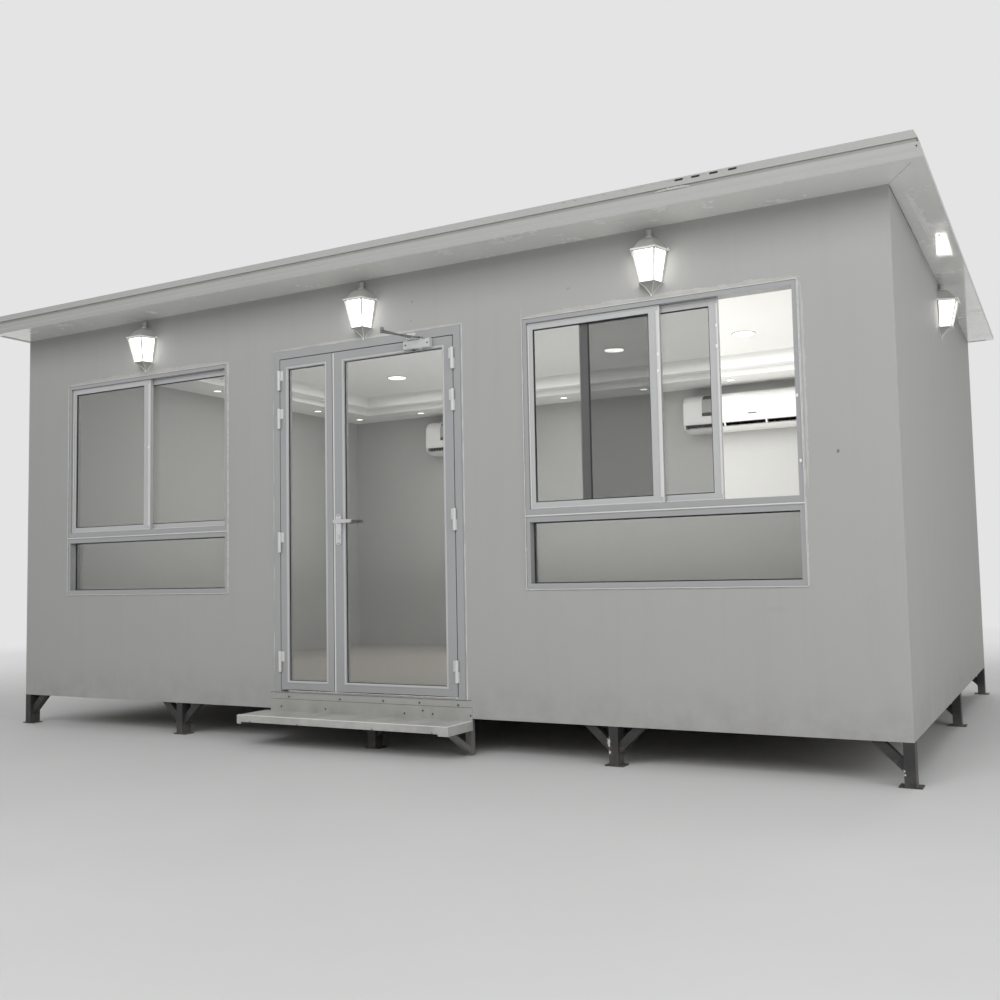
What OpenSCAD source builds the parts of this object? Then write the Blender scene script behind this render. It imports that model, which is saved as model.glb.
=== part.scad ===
// Portable guard booth on short steel legs: insulated panel walls, flat roof with a moulded
// fascia, a glazed double door, two sliding windows and four half lanterns.
// Millimetres. X runs along the front from the left corner, Y into the booth, Z up from the ground.

/* [Cabin] */
// length of the front wall
length = 6000; // [4500:10:8000]
// depth of the booth from front to back
depth = 4000; // [3000:10:5000]
// height of the lower edge of the walls above the ground
floor_clearance = 203; // [120:1:400]
// height of the walls above the doorway
wall_over_door = 366; // [300:1:600]
// thickness of the wall panels
wall_thickness = 80; // [50:1:120]
// thickness of the outer wall sheet where it runs down over the floor frame
skirt_thickness = 6; // [2:0.5:10]

/* [Floor] */
// height of the floor frame channels
frame_height = 80; // [60:5:160]
// flange width of the floor frame channels
frame_flange = 45; // [30:1:70]
// wall of the floor frame channels
frame_wall = 5; // [3:0.5:8]
// largest spacing of the floor joists
joist_spacing = 600; // [400:10:600]
// thickness of the floor board
floor_thickness = 20; // [12:1:40]

/* [Legs] */
// width of a leg post along the front
post_width = 50; // [40:1:100]
// width of a leg post across
post_depth = 80; // [40:1:100]
// wall of the leg tube
post_wall = 4; // [2:0.5:6]
// length of a base plate along the front
plate_length = 102; // [80:1:160]
// depth of a base plate
plate_depth = 84; // [80:1:140]
// thickness of the base plate
plate_thickness = 6; // [4:1:12]
// width of a knee brace
brace_width = 43; // [20:1:60]
// how far a knee brace reaches out from its post
brace_reach = 139; // [60:1:200]
// height at which a knee brace leaves its post, above the ground
brace_foot = 71; // [30:1:120]
// least height of a knee brace above the base plate
brace_gap = 2; // [1:0.5:10]
// centre of the second leg of a row from the left end
leg_second = 1505; // [1000:5:2000]
// centre of the third leg of a row to the right of the middle
leg_third = 30; // [-200:5:200]
// centre of the fourth leg of a row from the right end
leg_fourth = 1456; // [1000:5:2000]
// centre of the middle row of legs from the front
leg_middle_row = 2110; // [1500:5:2600]

/* [Roof] */
// roof overhang at the front, to the lower edge of the fascia
front_overhang = 284; // [150:1:500]
// roof overhang at the right end
right_overhang = 185; // [60:1:400]
// roof overhang at the left end
left_overhang = 30; // [30:1:60]
// roof overhang at the back
back_overhang = 20; // [20:1:60]
// height of the fascia
fascia_height = 140; // [100:1:220]
// how far the top of the fascia stands back from its lower edge
fascia_setback = 38; // [20:1:60]
// width of the fascia's lower edge
fascia_width = 52; // [40:1:80]
// height of the fascia's upright lower edge
fascia_plinth = 27.5; // [15:0.5:30]
// height of the ledge above it
fascia_ledge = 40; // [32:0.5:50]
// how far the slope below the ledge runs back
ledge_slope = 6; // [3:0.5:10]
// how far the face above the ledge stands back
ledge_back = 12.5; // [10:0.5:24]
// height at which the dark groove starts
groove_low = 72.5; // [60:0.5:80]
// height at which the dark groove ends
groove_high = 94.5; // [85:0.5:100]
// depth of the dark groove along the fascia
fascia_groove = 16; // [10:0.5:22]
// slope of the groove's two edges
groove_bevel = 2; // [1:0.5:4]
// how far the upright edge over the groove stands back
crown_back = 21; // [16:0.5:26]
// height at which the sloping crown of the fascia starts
crown_low = 98; // [95:0.5:115]
// height of the upright edge above the crown
crown_edge = 3.5; // [2:0.5:10]
// width of the rebate along the fascia's inner lower edge
fascia_rebate = 5; // [3:0.5:10]
// how far the fascia hangs below the soffit
fascia_drop = 2; // [0:0.5:10]
// thickness of the plain edge trim at the left and back
trim_thickness = 20; // [10:1:30]
// thickness of the soffit sheet
soffit_thickness = 3; // [1:0.5:6]
// thickness of the roof deck
deck_thickness = 100; // [60:5:130]

/* [Ceiling] */
// height of the ceiling border above the doorway
border_over_door = 201; // [100:1:400]
// width of the lower ceiling border
border_width = 425; // [300:10:800]
// height of the lower step of the ceiling tray
tray_lower = 52; // [30:1:100]
// height of the upper step of the ceiling tray
tray_upper = 105; // [40:1:140]
// width of the ledge between the two steps
ledge_width = 110; // [40:5:200]
// thickness of the ceiling boards
board_thickness = 8; // [6:1:20]
// diameter of a large ceiling light
large_light = 158; // [120:1:240]
// diameter of a small ceiling light
small_light = 65; // [50:1:140]
// how far a ceiling light stands below the board
light_drop = 4; // [2:0.5:10]
// spacing of the large lights along the room
large_spacing = 1043; // [700:1:1300]
// spacing of the two rows of large lights
large_rows = 1340; // [800:10:1600]
// distance of the small lights from the back wall
small_inset = 268; // [200:1:420]
// distance of the side columns of small lights from the side walls
column_inset = 226; // [200:1:420]
// spacing of the small lights along the side walls
column_spacing = 680; // [500:5:1000]
// spacing of the small lights along the back
small_spacing = 780; // [600:5:1200]

/* [Door] */
// how far the middle of the doorway stands left of the booth's middle
door_offset = 6.5; // [-400:0.5:400]
// width of the doorway
door_width = 1357; // [1100:1:1600]
// height of the doorway above the floor board
door_height = 2104; // [1900:1:2200]
// face width of the door frame
door_frame_face = 47.5; // [35:0.5:80]
// depth of the door frame
door_frame_depth = 66; // [50:1:100]
// how far the door frame stands proud of the wall
frame_proud = 6; // [2:0.5:12]
// width of the stop behind the leaves
stop_width = 12; // [8:1:20]
// thickness of the stop
stop_thickness = 16; // [8:1:24]
// depth of a door leaf
leaf_depth = 45; // [35:1:60]
// running gap round a leaf
leaf_gap = 5; // [5:0.5:8]
// gap under a leaf
leaf_lift = 10; // [6:1:15]
// width of the narrow leaf with half a gap on each side
narrow_width = 408.5; // [300:1:600]
// hinge stile width of the narrow leaf
narrow_stile = 57; // [45:1:90]
// stile width of the narrow leaf where the leaves meet
narrow_lock_stile = 55; // [45:1:90]
// hinge stile width of the wide leaf
hinge_stile = 68; // [45:1:100]
// lock stile width of the wide leaf
lock_stile = 80; // [60:1:110]
// top rail height of the leaves
top_rail = 60; // [50:1:100]
// bottom rail height of the leaves
bottom_rail = 55; // [50:1:120]
// height of the threshold plate
threshold = 3; // [2:0.5:10]
// width of the glazing bead
bead_width = 11; // [6:1:20]
// depth of the step at the glazing bead
bead_step = 6; // [3:0.5:10]
// thickness of the door glass
door_glass = 6; // [4:1:10]
// depth of the glass below the front of the leaf
glass_set_back = 14; // [10:1:25]
// how far a pane reaches into its groove
glass_bite = 8; // [5:1:12]
// play of a pane or a fitting in its groove
fit_gap = 0.3; // [0.1:0.05:0.5]

/* [Hinges] */
// diameter of a hinge barrel
barrel = 20; // [14:1:24]
// gap between a hinge barrel and the frame's face
barrel_gap = 0.5; // [0.5:0.5:3]
// height of one hinge knuckle
knuckle = 60; // [45:1:80]
// gap between the two knuckles
knuckle_gap = 1; // [0.5:0.5:3]
// diameter of the hinge pin
hinge_pin = 10; // [6:1:12]
// play of the pin in its knuckle
pin_gap = 0.1; // [0.05:0.05:0.5]
// cover over the end of the hinge pin
pin_cover = 2; // [1:0.5:6]
// width of a hinge flag on the leaf
flag_width = 24; // [16:1:40]
// thickness of a hinge flag
flag_thickness = 3; // [2:0.5:5]
// height of the top hinges above the floor board
hinge_top = 1923; // [1800:1:2000]
// height of the second hinges above the floor board
hinge_second = 1684; // [1500:1:1780]
// height of the third left hinge above the floor board
left_hinge_third = 915; // [800:1:1200]
// height of the third right hinge above the floor board
right_hinge_third = 1005; // [800:1:1200]
// height of the lowest left hinge above the floor board
left_hinge_low = 185; // [100:1:300]
// height of the lowest right hinge above the floor board
right_hinge_low = 155; // [100:1:300]

/* [Lock] */
// height of the lever's spindle above the floor board
lever_height = 1025; // [900:1:1100]
// length of the lever from its spindle
lever_length = 120; // [90:1:160]
// thickness of the lever across
lever_thickness = 16; // [12:1:20]
// width of the lever at its tip
lever_tip = 19; // [12:1:24]
// cut corner at the lever's tip
lever_corner = 3; // [1:0.5:6]
// depth of the lever's hand
lever_depth = 12; // [8:1:18]
// diameter of the rose behind the lever
lever_rose = 26; // [18:1:34]
// height of the rose
rose_height = 8; // [4:1:14]
// how much narrower the rose is at its front
rose_taper = 4; // [1:0.5:8]
// gap between the lock plate and the rose
rose_gap = 1; // [0.5:0.5:3]
// how far the lever's root is wider than its neck
lever_swell = 8; // [0:0.5:12]
// how far the lever's middle stands right of the middle of the lock stile
lever_shift = 1; // [-10:0.5:10]
// distance of the lever from the lock plate
lever_reach = 38; // [30:1:60]
// diameter of the spindle
spindle = 10; // [8:1:14]
// play of the spindle in the leaf and the plates
spindle_gap = 0.1; // [0.05:0.05:0.5]
// width of the lock plate
plate_width = 44; // [28:1:50]
// height of the lock plate above the spindle
plate_above = 46; // [30:1:60]
// height of the lock plate below the spindle
plate_below = 140; // [100:1:160]
// thickness of the lock plate
lock_plate_thickness = 8; // [4:1:10]
// how far the plate's upper step stands in
plate_step = 3; // [1:0.5:4]
// diameter of the key cylinder's collar
key_collar = 24; // [18:1:30]
// how far the collar stands proud of the lock plate
collar_proud = 5; // [2:0.5:8]
// width of the key slot
key_slot = 3; // [2:0.5:4]
// depth of the key slot
key_depth = 3; // [1:0.5:4]
// distance of the key cylinder below the spindle
key_drop = 92; // [70:1:110]

/* [Closer] */
// length of the closer body
closer_length = 178; // [160:1:260]
// height of the closer body
closer_height = 56; // [40:1:60]
// thickness of the closer body
closer_thickness = 38; // [30:1:60]
// corner radius of the closer body
closer_round = 9; // [4:1:16]
// thickness of the plate behind the closer body
closer_plate = 4; // [2:0.5:8]
// length of the end caps
closer_cap = 30; // [12:1:40]
// how far the end caps stand proud
cap_step = 1.5; // [0.5:0.5:3]
// how far the plate behind the closer body stands in from its edges
closer_plate_inset = 4; // [2:0.5:10]
// how far the closer's cylinder stands in from the body's front and back
cylinder_inset = 4; // [2:0.5:8]
// how far the closer's cylinder stands out above and below the body
cylinder_proud = 1.5; // [0.5:0.5:4]
// distance of the closer body's lower edge above the foot of the leaf's top rail
closer_rise = 2; // [0:0.5:6]
// how far the closer body's middle stands left of its spindle
closer_shift = 23; // [-40:1:40]
// diameter of the closer's axle
closer_axle = 12; // [10:1:16]
// distance of the closer's spindle from the hinge pin
closer_spindle = 198; // [150:1:300]
// distance of the closer bracket's pivot from the hinge pin
bracket_pivot = 278; // [200:1:400]
// distance of the elbow from the hinge pin along the door
elbow_side = 308; // [200:1:400]
// distance of the elbow in front of the wall
elbow_front = 262; // [200:1:270]
// width of the closer arms
arm_width = 20; // [14:1:30]
// thickness of the closer arms
arm_thickness = 5; // [4:0.5:8]
// gap between the closer body and the arm above it
arm_rise = 7; // [6:0.5:12]
// diameter of the bosses on the arms
arm_boss = 22; // [16:1:28]
// gap between the closer body and the arm's boss
boss_gap = 2; // [1:0.5:4]
// length of the axle in the closer body
axle_depth = 16; // [10:1:24]
// clearance below the axle in its bore
axle_gap = 4; // [1:0.5:6]
// how much narrower the forearm is than the arm
forearm_slim = 4; // [1:0.5:8]
// height of the elbow's cap above the forearm
elbow_cap = 14; // [6:1:20]
// diameter of the pin that carries the forearm
bracket_pin = 8; // [6:1:10]
// width of the bracket on the frame
bracket_width = 60; // [40:1:90]
// thickness of the bracket's plates
shelf_thickness = 4; // [3:0.5:8]
// distance of the forearm's pin in front of the door frame
bracket_reach = 24; // [16:1:40]
// gap above and below the bracket's foot plate on the head of the frame
bracket_margin = 3; // [2:0.5:8]
// gap between the forearm and the shelf above it
shelf_gap = 2; // [1:0.5:4]
// clearance between the two arms
arm_clearance = 6; // [5:0.5:10]

/* [Windows] */
// left edge of the left window
window_a_left = 437; // [200:1:700]
// right edge of the right window from the right end
window_b_right = 444; // [200:1:700]
// width of a window
window_width = 1483; // [900:1:1600]
// height of the window sills above the floor board
window_sill = 612; // [400:1:1000]
// height of a window
window_height = 1468; // [1000:1:1600]
// face width of the window frame
window_face = 20; // [16:1:50]
// height of the fixed lower light
lower_light = 356; // [250:1:500]
// height of the sill below the fixed light
lower_sill = 26; // [16:1:50]
// height of the transom between the two lights
transom = 71; // [40:1:100]
// height and depth of the drip on the transom
drip_size = 4; // [2:0.5:8]
// width of the lip that covers the joint with the wall
lip_width = 8; // [4:1:20]
// thickness of the lip
lip_thickness = 3; // [2:0.5:6]
// thickness of a sliding sash
sash_depth = 24; // [18:1:30]
// gap between the two sashes
sash_gap = 3; // [2:0.5:6]
// how far the two closed sashes lap at the middle of the window
sash_lap = 84; // [40:1:120]
// distance of the front sash from the front of the wall
sash_set_back = 12; // [4:1:20]
// face width of a sash stile at the frame
sash_stile = 32; // [25:1:60]
// face width of the front sash's stile where the sashes meet
meeting_stile = 60; // [35:1:80]
// face width of the rear sash's stile where the sashes meet
rear_stile = 48; // [35:1:80]
// face width of the stile that the open sash is pulled by
pull_stile = 46; // [25:1:60]
// face height of a sash rail
sash_rail = 36; // [25:1:60]
// thickness of the window glass
window_glass_thickness = 5; // [4:1:8]
// how far the right window's rear sash is pushed open
window_b_open = 380; // [0:1:600]

/* [Lanterns] */
// width of a lantern at its rim
lantern_width = 200; // [140:1:260]
// width of the front pane at the rim
lantern_front = 127; // [80:1:180]
// depth of a lantern from the wall to the front of its rim
lantern_depth = 115; // [80:1:150]
// height of the rim above the doorway
lantern_rim = 233; // [120:1:300]
// height of the panes
pane_height = 155; // [100:1:200]
// how much narrower the lantern is at the foot of its panes
lantern_taper = 0.6; // [0.4:0.01:0.9]
// height of the rim
rim_height = 10; // [6:1:16]
// size of the rim's lower edge against its upper edge
rim_scale = 0.94; // [0.85:0.01:1]
// size of the panes at the rim against the rim's upper edge
pane_scale = 0.935; // [0.8:0.005:1]
// size of the foot ring against the foot of the panes
ring_scale = 1.08; // [1:0.01:1.2]
// size of the rim's lower lip against the head of the panes
rim_lip = 1.03; // [1:0.01:1.1]
// height of the cap
cap_height = 72; // [40:1:90]
// width of the stem on the cap at its top
stem_width = 34; // [20:1:40]
// width of the stem at its foot
stem_foot = 24; // [14:1:34]
// height of the stem
stem_height = 38; // [20:1:45]
// height of the ring below the panes
foot_ring = 6; // [4:1:12]
// height of the point below the panes
point_height = 52; // [40:1:90]
// thickness of the cage's back plate
back_plate = 4; // [2:0.5:8]
// thickness of the opal panes
opal_thickness = 3; // [2:0.5:6]
// gap between the panes and the ribs
pane_gap = 1; // [0.5:0.1:3]
// thickness of the lantern's ribs
rib = 7; // [5:0.5:12]
// left lantern from the left corner
lantern_first = 1195; // [600:5:1800]
// middle lantern to the right of the booth's middle
lantern_second = 5; // [-200:5:200]
// right lantern from the right corner
lantern_third = 1175; // [600:5:1800]
// side lantern from the front corner
lantern_side = 1950; // [1000:5:3000]

/* [Step] */
// how far the step reaches past the doorway on the left
step_past_left = 77; // [20:1:200]
// how far the step reaches past the doorway on the right
step_past_right = 40; // [20:1:200]
// how far the step stands out from the wall
step_reach = 262; // [200:1:400]
// height of the tread above the ground
step_height = 190; // [100:1:203]
// height of the step's turned-down lip
step_lip = 50; // [30:1:80]
// how far the lip's two front ends hang below its middle
lip_drop = 11; // [0:1:16]
// width of the lower end of the lip on the left
lip_left = 30; // [10:1:100]
// width of the lower end of the lip on the right
lip_right = 66; // [10:1:100]
// thickness of the step's sheet metal
step_sheet = 3; // [2:0.5:5]
// width of the return at the foot of the step's lips
step_return = 14; // [6:1:30]
// depth of the post under the floor frame at the step's right end
foot_side = 40; // [25:1:60]
// height at which the strut leaves that post
foot_rise = 12; // [4:1:60]
// width of the strut
strut_width = 36; // [20:1:60]
// height of the rail along the strut's top
arm_rail = 22; // [10:1:36]
// side of the square arms under the step
arm_side = 36; // [25:1:50]
// distance of the left arm from the left end of the step
arm_inset = 90; // [40:5:300]
// spacing of the arms under the step
arm_spacing = 440; // [300:5:480]
// height of the upper cover strip under the door
upper_cover = 41; // [30:1:60]
// how far the lower cover strip reaches past the doorway
cover_lap = 39; // [10:1:60]
// thickness of the cover strips
cover_thickness = 3; // [2:0.5:5]

/* [Air conditioners] */
// length of an indoor unit
unit_length = 1080; // [800:10:1200]
// height of an indoor unit
unit_height = 330; // [260:1:360]
// depth of an indoor unit
unit_depth = 205; // [170:1:260]
// height of a unit's underside above the floor board
unit_base = 1893; // [1700:1:2000]
// left unit from the left corner
unit_left = 1065; // [300:5:2500]
// right unit's right end from the right corner
unit_right = 1194; // [300:1:2500]
// depth of the rounded lower front of a unit
unit_round = 133; // [90:1:160]
// height of the rounded lower front of a unit
unit_belly = 94; // [60:1:130]
// height at which the front of a unit starts to curve back
unit_shoulder = 234; // [180:1:280]
// depth of a unit's flat top
unit_crown = 60; // [30:1:140]
// height of the air outlet slot
outlet_slot = 28; // [20:1:50]
// height of the outlet slot's lower edge above the underside
outlet_foot = 31; // [16:1:50]
// depth of the outlet slot from the front of the casing
outlet_reach = 62; // [40:1:90]

/* [Hidden] */
$fn = 48;
// longer than any piece, for the blocks that cut
cut = length + depth;
// how far a block reaches past a face that it cuts or joins
past = 1;
wall_foot = floor_clearance;
floor_top = floor_clearance + frame_height + floor_thickness;
door_top = floor_top + door_height;
wall_top = door_top + wall_over_door;
roof_left = -left_overhang;
roof_right = length + right_overhang;
roof_front = -front_overhang;
roof_back = depth + back_overhang;
fascia_foot = wall_top - soffit_thickness - fascia_drop;
fascia_top = fascia_foot + fascia_height;
deck_top = wall_top + deck_thickness;
leg_xs = [post_width / 2, leg_second, length / 2 + leg_third, length - leg_fourth, length - post_width / 2];
leg_ys = [post_depth / 2, leg_middle_row, depth - post_depth / 2];
leg_top = floor_clearance;
joist_bays = ceil((length - 2 * skirt_thickness) / joist_spacing);
joist_pitch = (length - 2 * skirt_thickness) / joist_bays;
bearer_y = leg_middle_row - frame_flange / 2;
border_foot = door_top + border_over_door;
tray_ledge = border_foot + tray_lower;
tray_top = tray_ledge + tray_upper;
tray_edge = wall_thickness + border_width + ledge_width - board_thickness;
door_left = length / 2 - door_offset - door_width / 2;
door_right = door_left + door_width;
step_left = door_left - step_past_left;
step_right = door_right + step_past_right;
frame_front = -frame_proud;
leaf_left = door_left + door_frame_face;
leaf_right = door_right - door_frame_face;
leaf_foot = floor_top + threshold + leaf_lift;
leaf_top = door_top - door_frame_face - leaf_gap / 2;
meeting_line = leaf_left + narrow_width;
hinge_y = frame_front - barrel / 2 - barrel_gap;
hinge_left_x = leaf_left;
hinge_right_x = leaf_right;
left_hinge_zs = [left_hinge_low, left_hinge_third, hinge_second, hinge_top];
right_hinge_zs = [right_hinge_low, right_hinge_third, hinge_second, hinge_top];
lever_x = meeting_line + lock_stile / 2 + lever_shift;
lever_z = floor_top + lever_height;
closer_x = hinge_right_x - closer_spindle;
closer_y = frame_front - (closer_thickness + closer_plate) / 2;
closer_left = closer_x - closer_length / 2 - closer_shift;
closer_foot = leaf_top - top_rail + closer_rise;
closer_top = closer_foot + closer_height;
arm_z = closer_top + arm_rise;
forearm_z = arm_z + arm_thickness + arm_clearance;
bracket_x = hinge_right_x - bracket_pivot;
bracket_y = frame_front - bracket_reach;
elbow_x = hinge_right_x - elbow_side;
elbow_y = -elbow_front;
window_b_left = length - window_b_right - window_width;
window_foot = floor_top + window_sill;
window_top = window_foot + window_height;
upper_foot = window_foot + lower_light + transom;
sash_width = (window_width - 2 * window_face + sash_lap) / 2;
lantern_z = door_top + lantern_rim;
cap_scales = [0.96, 0.84, 0.76, 0.69, 0.6, 0.48, 0.3];
point_scales = [0.1, 0.2, 0.34, 0.52, 0.74, 1];

// moves the model so that the ground point under the middle of its box is the origin
module place() translate([-(roof_left + roof_right) / 2, -(roof_front + roof_back) / 2, 0]) children();

// a box from its low corner to its high corner
module block(low, high) translate(low) cube([high[0] - low[0], high[1] - low[1], high[2] - low[2]]);

// C channel along X with its web at y = 0 and flanges towards +Y
module channel(run, height, flange, wall)
  translate([0, 0, 0]) rotate([90, 0, 90]) linear_extrude(run)
    polygon([[0, 0], [flange, 0], [flange, wall], [wall, wall], [wall, height - wall],
      [flange, height - wall], [flange, height], [0, height]]);

// the long channels at the front and back and the bearer over the middle legs
module base_frame() color("dimgray") place() {
  low = skirt_thickness;
  run = length - 2 * low;
  translate([low, low, wall_foot]) channel(run, frame_height, frame_flange, frame_wall);
  translate([low, bearer_y, wall_foot]) channel(run, frame_height, frame_flange, frame_wall);
  translate([length - low, depth - low, wall_foot]) rotate([0, 0, 180])
    channel(run, frame_height, frame_flange, frame_wall);
}

// the joists between the long channels, in two runs; the end ones close the frame
module floor_joists() color("dimgray") place()
  for (i = [0 : joist_bays], run = [[skirt_thickness + frame_flange, bearer_y],
      [bearer_y + frame_flange, depth - skirt_thickness - frame_flange]]) {
    x = skirt_thickness + i * joist_pitch;
    web = i == 0 ? x : x - frame_flange / 2;
    if (i == joist_bays) translate([x, run[0], wall_foot]) rotate([0, 0, 90])
      channel(run[1] - run[0], frame_height, frame_flange, frame_wall);
    else translate([web, run[1], wall_foot]) rotate([0, 0, -90])
      channel(run[1] - run[0], frame_height, frame_flange, frame_wall);
  }

module floor_board() color("tan") place()
  block([skirt_thickness, skirt_thickness, floor_top - floor_thickness],
    [length - skirt_thickness, depth - skirt_thickness, floor_top]);

// one knee brace from the post at x = 0 up to the floor frame, towards +X
module knee_brace() {
  slope = atan2(leg_top - brace_foot, brace_reach);
  half = brace_width / 2;
  intersection() {
    translate([0, half, brace_foot]) rotate([90, -slope, 0]) linear_extrude(brace_width)
      translate([-cut, -half]) square([2 * cut, brace_width]);
    block([post_width / 2 - post_wall / 2, -brace_width, plate_thickness + brace_gap], [cut, brace_width, leg_top]);
  }
}

// a leg: tube post, base plate and knee braces on the sides named
module leg(left, right) {
  difference() {
    block([-post_width / 2, -post_depth / 2, plate_thickness], [post_width / 2, post_depth / 2, leg_top]);
    block([-post_width / 2 + post_wall, -post_depth / 2 + post_wall, plate_thickness - past],
      [post_width / 2 - post_wall, post_depth / 2 - post_wall, leg_top + past]);
  }
  block([-plate_length / 2, -plate_depth / 2, 0], [plate_length / 2, plate_depth / 2, plate_thickness]);
  if (right) knee_brace();
  if (left) mirror([1, 0, 0]) knee_brace();
}

module leg_row(y) for (i = [0 : len(leg_xs) - 1])
  translate([leg_xs[i], y, 0]) leg(i > 0, i < len(leg_xs) - 1);

module front_legs() color("darkslategray") place() leg_row(leg_ys[0]);
module middle_legs() color("darkslategray") place() leg_row(leg_ys[1]);
module back_legs() color("darkslategray") place() leg_row(leg_ys[2]);

// a front wall panel
module front_panel(x0, x1, foot) block([x0, 0, foot], [x1, wall_thickness, wall_top]);

module window_hole(x) block([x, -past, window_foot], [x + window_width, wall_thickness + past, window_top]);

module front_wall_left() color("gainsboro") place() difference() {
  union() {
    front_panel(0, door_left, floor_top);
    block([0, 0, wall_foot], [door_left, skirt_thickness, floor_top + past]);
  }
  window_hole(window_a_left);
}

module front_wall_right() color("gainsboro") place() difference() {
  union() {
    front_panel(door_right, length, floor_top);
    block([door_right, 0, wall_foot], [length, skirt_thickness, floor_top + past]);
  }
  window_hole(window_b_left);
}

module front_wall_over_door() color("gainsboro") place() front_panel(door_left, door_right, door_top);

module back_wall() color("gainsboro") place() {
  block([0, depth - wall_thickness, floor_top], [length, depth, wall_top]);
  block([0, depth - skirt_thickness, wall_foot], [length, depth, floor_top + past]);
}

module side_panel(x0, x1, s0, s1) {
  block([x0, wall_thickness, floor_top], [x1, depth - wall_thickness, wall_top]);
  block([s0, skirt_thickness, wall_foot], [s1, depth - skirt_thickness, floor_top]);
  block([s0, wall_thickness, floor_top - past], [s1, depth - wall_thickness, floor_top + past]);
}

module left_wall() color("silver") place() side_panel(0, wall_thickness, 0, skirt_thickness);
module right_wall() color("silver") place()
  side_panel(length - wall_thickness, length, length - skirt_thickness, length);

module roof_deck() color("lightgray") place()
  block([roof_left + trim_thickness, roof_front + fascia_width, wall_top],
    [roof_right - fascia_width, roof_back - trim_thickness, deck_top]);

module soffit() color("whitesmoke") place() difference() {
  block([0, roof_front + fascia_width, wall_top - soffit_thickness],
    [roof_right - fascia_width, roof_back - trim_thickness, wall_top]);
  block([-past, 0, wall_top - soffit_thickness - past], [length, depth + back_overhang, wall_top + past]);
}

// the fascia's section: x is the setback from the outer lower edge, y the height
module fascia_section() {
  back = fascia_setback;
  difference() {
    polygon([[fascia_width, 0], [0, 0], [0, fascia_plinth], [groove_bevel, fascia_plinth + groove_bevel],
      [ledge_slope, fascia_ledge - groove_bevel], [ledge_back - groove_bevel / 2, fascia_ledge],
      [ledge_back, groove_low], [ledge_back + fascia_groove, groove_low + groove_bevel],
      [ledge_back + fascia_groove, groove_high - groove_bevel], [crown_back, groove_high],
      [crown_back, crown_low], [back, fascia_height - crown_edge], [back, fascia_height],
      [fascia_width, fascia_height]]);
    translate([fascia_width - fascia_rebate, -past])
      square([fascia_rebate + past, wall_top - fascia_foot - soffit_thickness + past]);
  }
}

module front_fascia() color("white") place() difference() {
  translate([roof_left, roof_front, fascia_foot]) rotate([90, 0, 90])
    linear_extrude(roof_right - roof_left) fascia_section();
  translate([roof_right, roof_front, fascia_foot - past]) rotate([0, 0, 45])
    translate([0, -cut / 2, 0]) cube([cut, cut, fascia_height + 2 * past]);
}

module right_fascia() color("white") place() difference() {
  translate([roof_right, roof_back, fascia_foot]) mirror([1, 0, 0]) rotate([90, 0, 0])
    linear_extrude(roof_back - roof_front) fascia_section();
  translate([roof_right, roof_front, fascia_foot - past]) rotate([0, 0, 45])
    translate([-cut, -cut / 2, 0]) cube([cut, cut, fascia_height + 2 * past]);
}

module plain_edge_trim() color("white") place() {
  block([roof_left, roof_front + fascia_width, fascia_foot], [0, roof_back, wall_top]);
  block([roof_left, roof_front + fascia_width, wall_top - past], [roof_left + trim_thickness, roof_back, fascia_top]);
  block([roof_left, depth, fascia_foot], [roof_right - fascia_width, roof_back, wall_top]);
  block([roof_left, roof_back - trim_thickness, wall_top - past], [roof_right - fascia_width, roof_back, fascia_top]);
}

// the inside of the ceiling: a low border round a tray raised in two steps
module ceiling_border() color("white") place() {
  a = wall_thickness;
  b = wall_thickness + border_width;
  difference() {
    union() {
      block([a, a, border_foot], [length - a, depth - a, border_foot + board_thickness]);
      block([b - board_thickness, b - board_thickness, border_foot],
        [length - b + board_thickness, depth - b + board_thickness, tray_ledge + board_thickness]);
      block([tray_edge, tray_edge, tray_ledge], [length - tray_edge, depth - tray_edge, tray_top]);
    }
    block([b, b, border_foot - past], [length - b, depth - b, tray_ledge]);
    block([tray_edge + board_thickness, tray_edge + board_thickness, tray_ledge - past],
      [length - tray_edge - board_thickness, depth - tray_edge - board_thickness, tray_top + past]);
  }
}

module ceiling_centre() color("white") place()
  block([tray_edge, tray_edge, tray_top], [length - tray_edge, depth - tray_edge, wall_top]);

module disc(x, y, top, size) translate([x, y, top - light_drop]) cylinder(d = size, h = light_drop);

module ceiling_lights() color("lightyellow") place() {
  for (i = [-1.5 : 1 : 1.5], j = [-0.5, 0.5])
    disc(length / 2 + i * large_spacing, depth / 2 + j * large_rows, tray_top, large_light);
  small_count = floor((length / 2 - wall_thickness - small_inset) / small_spacing - 0.5);
  for (i = [-small_count - 0.5 : 1 : small_count + 0.5])
    disc(length / 2 + i * small_spacing, depth - wall_thickness - small_inset, border_foot, small_light);
  for (i = [0 : 4], x = [wall_thickness + column_inset, length - wall_thickness - column_inset])
    disc(x, depth - wall_thickness - small_inset - i * column_spacing, border_foot, small_light);
}

// the door frame: jambs, head and threshold with a stop behind the leaves and a lip on the wall
module door_frame() color("lightslategray") place() {
  back = frame_front + door_frame_depth;
  difference() {
    union() {
      block([door_left, frame_front, floor_top], [door_right, back, door_top]);
      block([door_left - lip_width, -lip_thickness, floor_top], [door_right + lip_width, 0, door_top + lip_width]);
    }
    block([leaf_left - leaf_gap / 2, frame_front - past, floor_top - past],
      [leaf_right + leaf_gap / 2, back - stop_thickness, leaf_top + leaf_gap]);
    block([leaf_left + stop_width, frame_front - past, floor_top - past],
      [leaf_right - stop_width, back + past, leaf_top - stop_width + leaf_gap]);
  }
  block([leaf_left - leaf_gap / 2 - past, frame_front, floor_top],
    [leaf_right + leaf_gap / 2 + past, back, floor_top + threshold]);
}

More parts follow.
